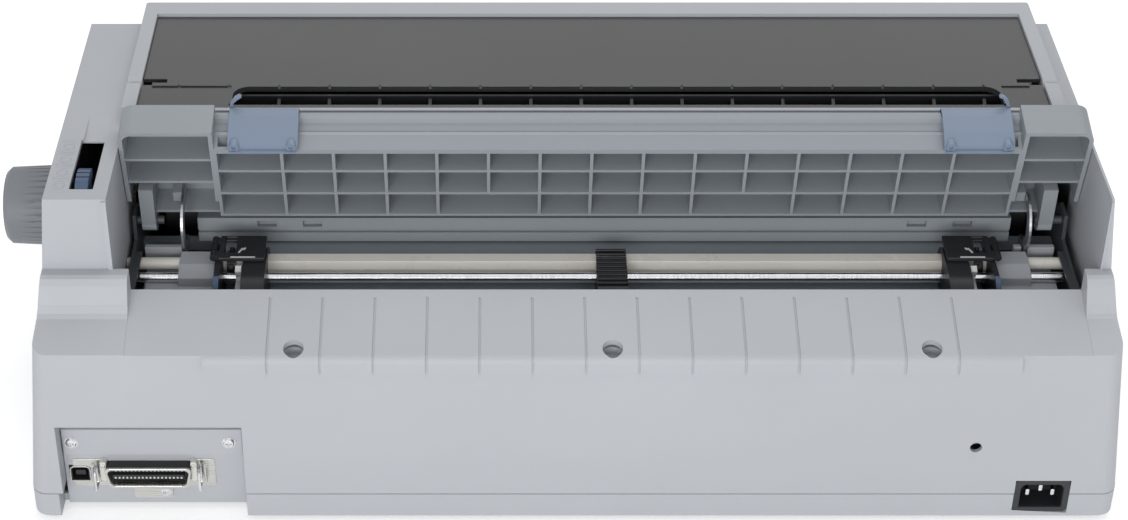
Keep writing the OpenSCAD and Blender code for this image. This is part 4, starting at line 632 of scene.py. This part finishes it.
def add_power_inlet():
    at = INLET_AT
    floor, rim, flange, blade_tip = 184, 199.55, (196.0, 197.4), 195.6

    def body(shape):
        outer = rounded(at, 15.2, 11, [2.4] * 4)
        inner = rounded(at, 12.2, 8.2, [1.0, 1.0, 3.4, 3.4])
        add_ring(shape, 1, floor, rim, outer, inner)
        add_prism(shape, 1, floor - 4, floor + 0.1, rounded(at, 15.1, 10.9, [2.4] * 4))
        add_ring(shape, 1, *flange, rounded(at, 18.1, 11.05, [2] * 4), outer)

    def liner(shape):
        outer = rounded(at, 12.15, 8.15, [1.0, 1.0, 3.4, 3.4])
        inner = rounded(at, 11.8, 7.8, [0.8, 0.8, 3.2, 3.2])
        add_ring(shape, 1, floor + 0.2, rim - 0.5, outer, inner)
        add_prism(shape, 1, floor + 0.15, floor + 0.8, outer)

    def blades(shape):
        for x, z in ((-7, -0.5), (0, 2.5), (7, -0.5)):
            centre = (at[0] + x, at[1] + z)
            add_prism(shape, 1, floor + 0.5, blade_tip, rounded(centre, 1.05, 2.05, [0.6] * 4, 3))

    add_piece("inlet_bezel", "base", "inlet_plastic", body, 0.5, ["power_inlet"])
    add_piece("inlet_liner", "base", "black_plastic", liner)
    add_piece("inlet_blades", "base", "bright_steel", blades, 0.4)


# ---- Trim on the tractors and the casing ----


def arc(centre, radius, low, high, steps=10):
    """Points on an arc, with its angles in degrees."""
    turns = [math.radians(low + (high - low) * i / steps) for i in range(steps + 1)]
    return [(centre[0] + radius * math.cos(a), centre[1] + radius * math.sin(a)) for a in turns]


def slanted(centre, half_w, half_h, degrees):
    """A thin rounded bar's outline, turned about its centre."""
    turn = math.radians(degrees)
    outline = []
    for x, y in rounded((0, 0), half_w, half_h, [half_h * 0.9] * 4, 4):
        outline.append((centre[0] + x * math.cos(turn) - y * math.sin(turn),
                        centre[1] + x * math.sin(turn) + y * math.cos(turn)))
    return outline


# Top of the tractor doors, and each tractor's place along the shaft and outward side
DOOR_TOP = 128.05
TRACTORS = (("right", 171, 1), ("left", -236, -1))


def add_tractor_trim():
    for name, x, side in TRACTORS:

        def mark(shape):
            for dx, dy, half in ((0.6, 117.8, 2.6), (-1.4, 116.2, 1.2)):
                outline = slanted((x + side * dx, dy), half, 0.55, 90 - side * 24)
                add_prism(shape, 2, DOOR_TOP - 0.05, DOOR_TOP + 0.12, outline)

        def edge(shape):
            outline = rounded((x - 1, 124.2), 7, 0.5, [0.3] * 4, 3)
            add_prism(shape, 2, DOOR_TOP - 0.4, DOOR_TOP + 0.15, outline)

        def clip(shape):
            low, high = sorted((x + side * 11, x + side * 14.1))
            outer = arc((137.2, 113), 13.1, -30, 80)
            inner = arc((137.2, 113), 12.05, 80, -30)
            add_prism(shape, 0, low, high, outer + inner)

        add_piece(f"tractor_mark_{name}", f"tractor_door_{name}", "white_plastic", mark)
        add_piece(f"tractor_edge_{name}", f"tractor_door_{name}", "white_plastic", edge, 0.1)
        add_piece(f"tractor_clip_{name}", f"tractor_{name}", "lever_blue", clip, 0.2)


# Top of the casing beside the cover
DECK_Z = 188


def add_casing_trim():
    x = 263.5

    def marks(shape):
        # Plain generic marks beside the lever slot: a ring for each setting, and bars between them
        for y in (104, 117, 130, 143):
            outer, inner = arc((x, y), 3.2, 0, 345, 23), arc((x, y), 2.5, 0, 345, 23)
            add_ring(shape, 2, DECK_Z - 0.1, DECK_Z + 0.3, outer, inner)
            for dy in (-5.4, 5.4):
                bar = rounded((x, y + dy), 4.6, 0.4, [0.3] * 4, 3)
                add_prism(shape, 2, DECK_Z - 0.1, DECK_Z + 0.3, bar)

    def stop(shape):
        add_prism(shape, 0, -247, -166, rounded((159.2, 126.2), 0.55, 0.75, [0.4] * 4, 3))

    add_piece("deck_marks", "base", "case_plastic", marks, 0.1)
    add_piece("paper_stop", "base", "case_plastic", stop)


# ---- Floor, light and background ----


def seen_directly(nodes, links):
    """A value of 1 for rays from the camera, from gloss and through glass, and 0 for the rest."""
    path = nodes.new("ShaderNodeLightPath")
    value = path.outputs["Is Camera Ray"]
    for name in ("Is Glossy Ray", "Is Transmission Ray"):
        step = nodes.new("ShaderNodeMath")
        step.operation = "MAXIMUM"
        links.new(value, step.inputs[0])
        links.new(path.outputs[name], step.inputs[1])
        value = step.outputs[0]
    return value


def scaled(nodes, links, value, gain, offset=0.0):
    """value times gain, plus offset."""
    step = nodes.new("ShaderNodeMath")
    step.operation = "MULTIPLY_ADD"
    step.inputs[1].default_value = gain
    step.inputs[2].default_value = offset
    links.new(value, step.inputs[0])
    return step.outputs[0]


# Light that the white table adds where it is seen directly
FLOOR_GLOW = 0.42


def add_floor():
    reach = 6

    def sheet(shape):
        corners = [(-reach, -reach, 0), (reach, -reach, 0), (reach, reach, 0), (-reach, reach, 0)]
        shape.faces.new([shape.verts.new(corner) for corner in corners])

    floor = add_mesh("floor", sheet)
    finish = Finish("floor_paper")
    finish.colour(linear(246, 246, 246), 0.004, 2)
    finish.shader.inputs["Roughness"].default_value = 0.9
    finish.shader.inputs["Emission Color"].default_value = (1, 1, 1, 1)
    seen = seen_directly(finish.nodes, finish.links)
    glow = scaled(finish.nodes, finish.links, seen, FLOOR_GLOW)
    finish.drive("Emission Strength", glow)
    floor.data.materials.append(finish.material)


def add_area_light(name, at, aim, size, power):
    data = bpy.data.lights.new(name, "AREA")
    data.shape = "RECTANGLE"
    data.size, data.size_y = size
    data.energy = power
    lamp = bpy.data.objects.new(name, data)
    lamp.location = at
    lamp.rotation_euler = (Vector(at) - Vector(aim)).to_track_quat("Z", "Y").to_euler()
    bpy.context.scene.collection.objects.link(lamp)


# Strength of the sky as a light; where it is seen directly its strength is 1
SKY = 0.5


def add_light():
    world = bpy.data.worlds.new("studio")
    bpy.context.scene.world = world
    world.use_nodes = True
    tree = world.node_tree
    background = tree.nodes["Background"]
    background.inputs["Color"].default_value = (0.985, 0.99, 1, 1)
    seen = seen_directly(tree.nodes, tree.links)
    strength = scaled(tree.nodes, tree.links, seen, 1 - SKY, SKY)
    tree.links.new(strength, background.inputs["Strength"])
    add_area_light("key", (0.35, 2.5, 0.8), (0, 0.1, 0.1), (1.8, 1.0), 30)
    add_area_light("top", (-0.3, -0.9, 2.1), (0, 0, 0.15), (2.0, 1.6), 14)


add_camera()
add_floor()
add_light()
dress_nodes()
soften_nodes()
add_connector_plate()
add_parallel_socket()
add_usb_socket()
add_bails()
add_power_inlet()
add_tractor_trim()
add_casing_trim()

bpy.context.scene.view_settings.view_transform = "Standard"
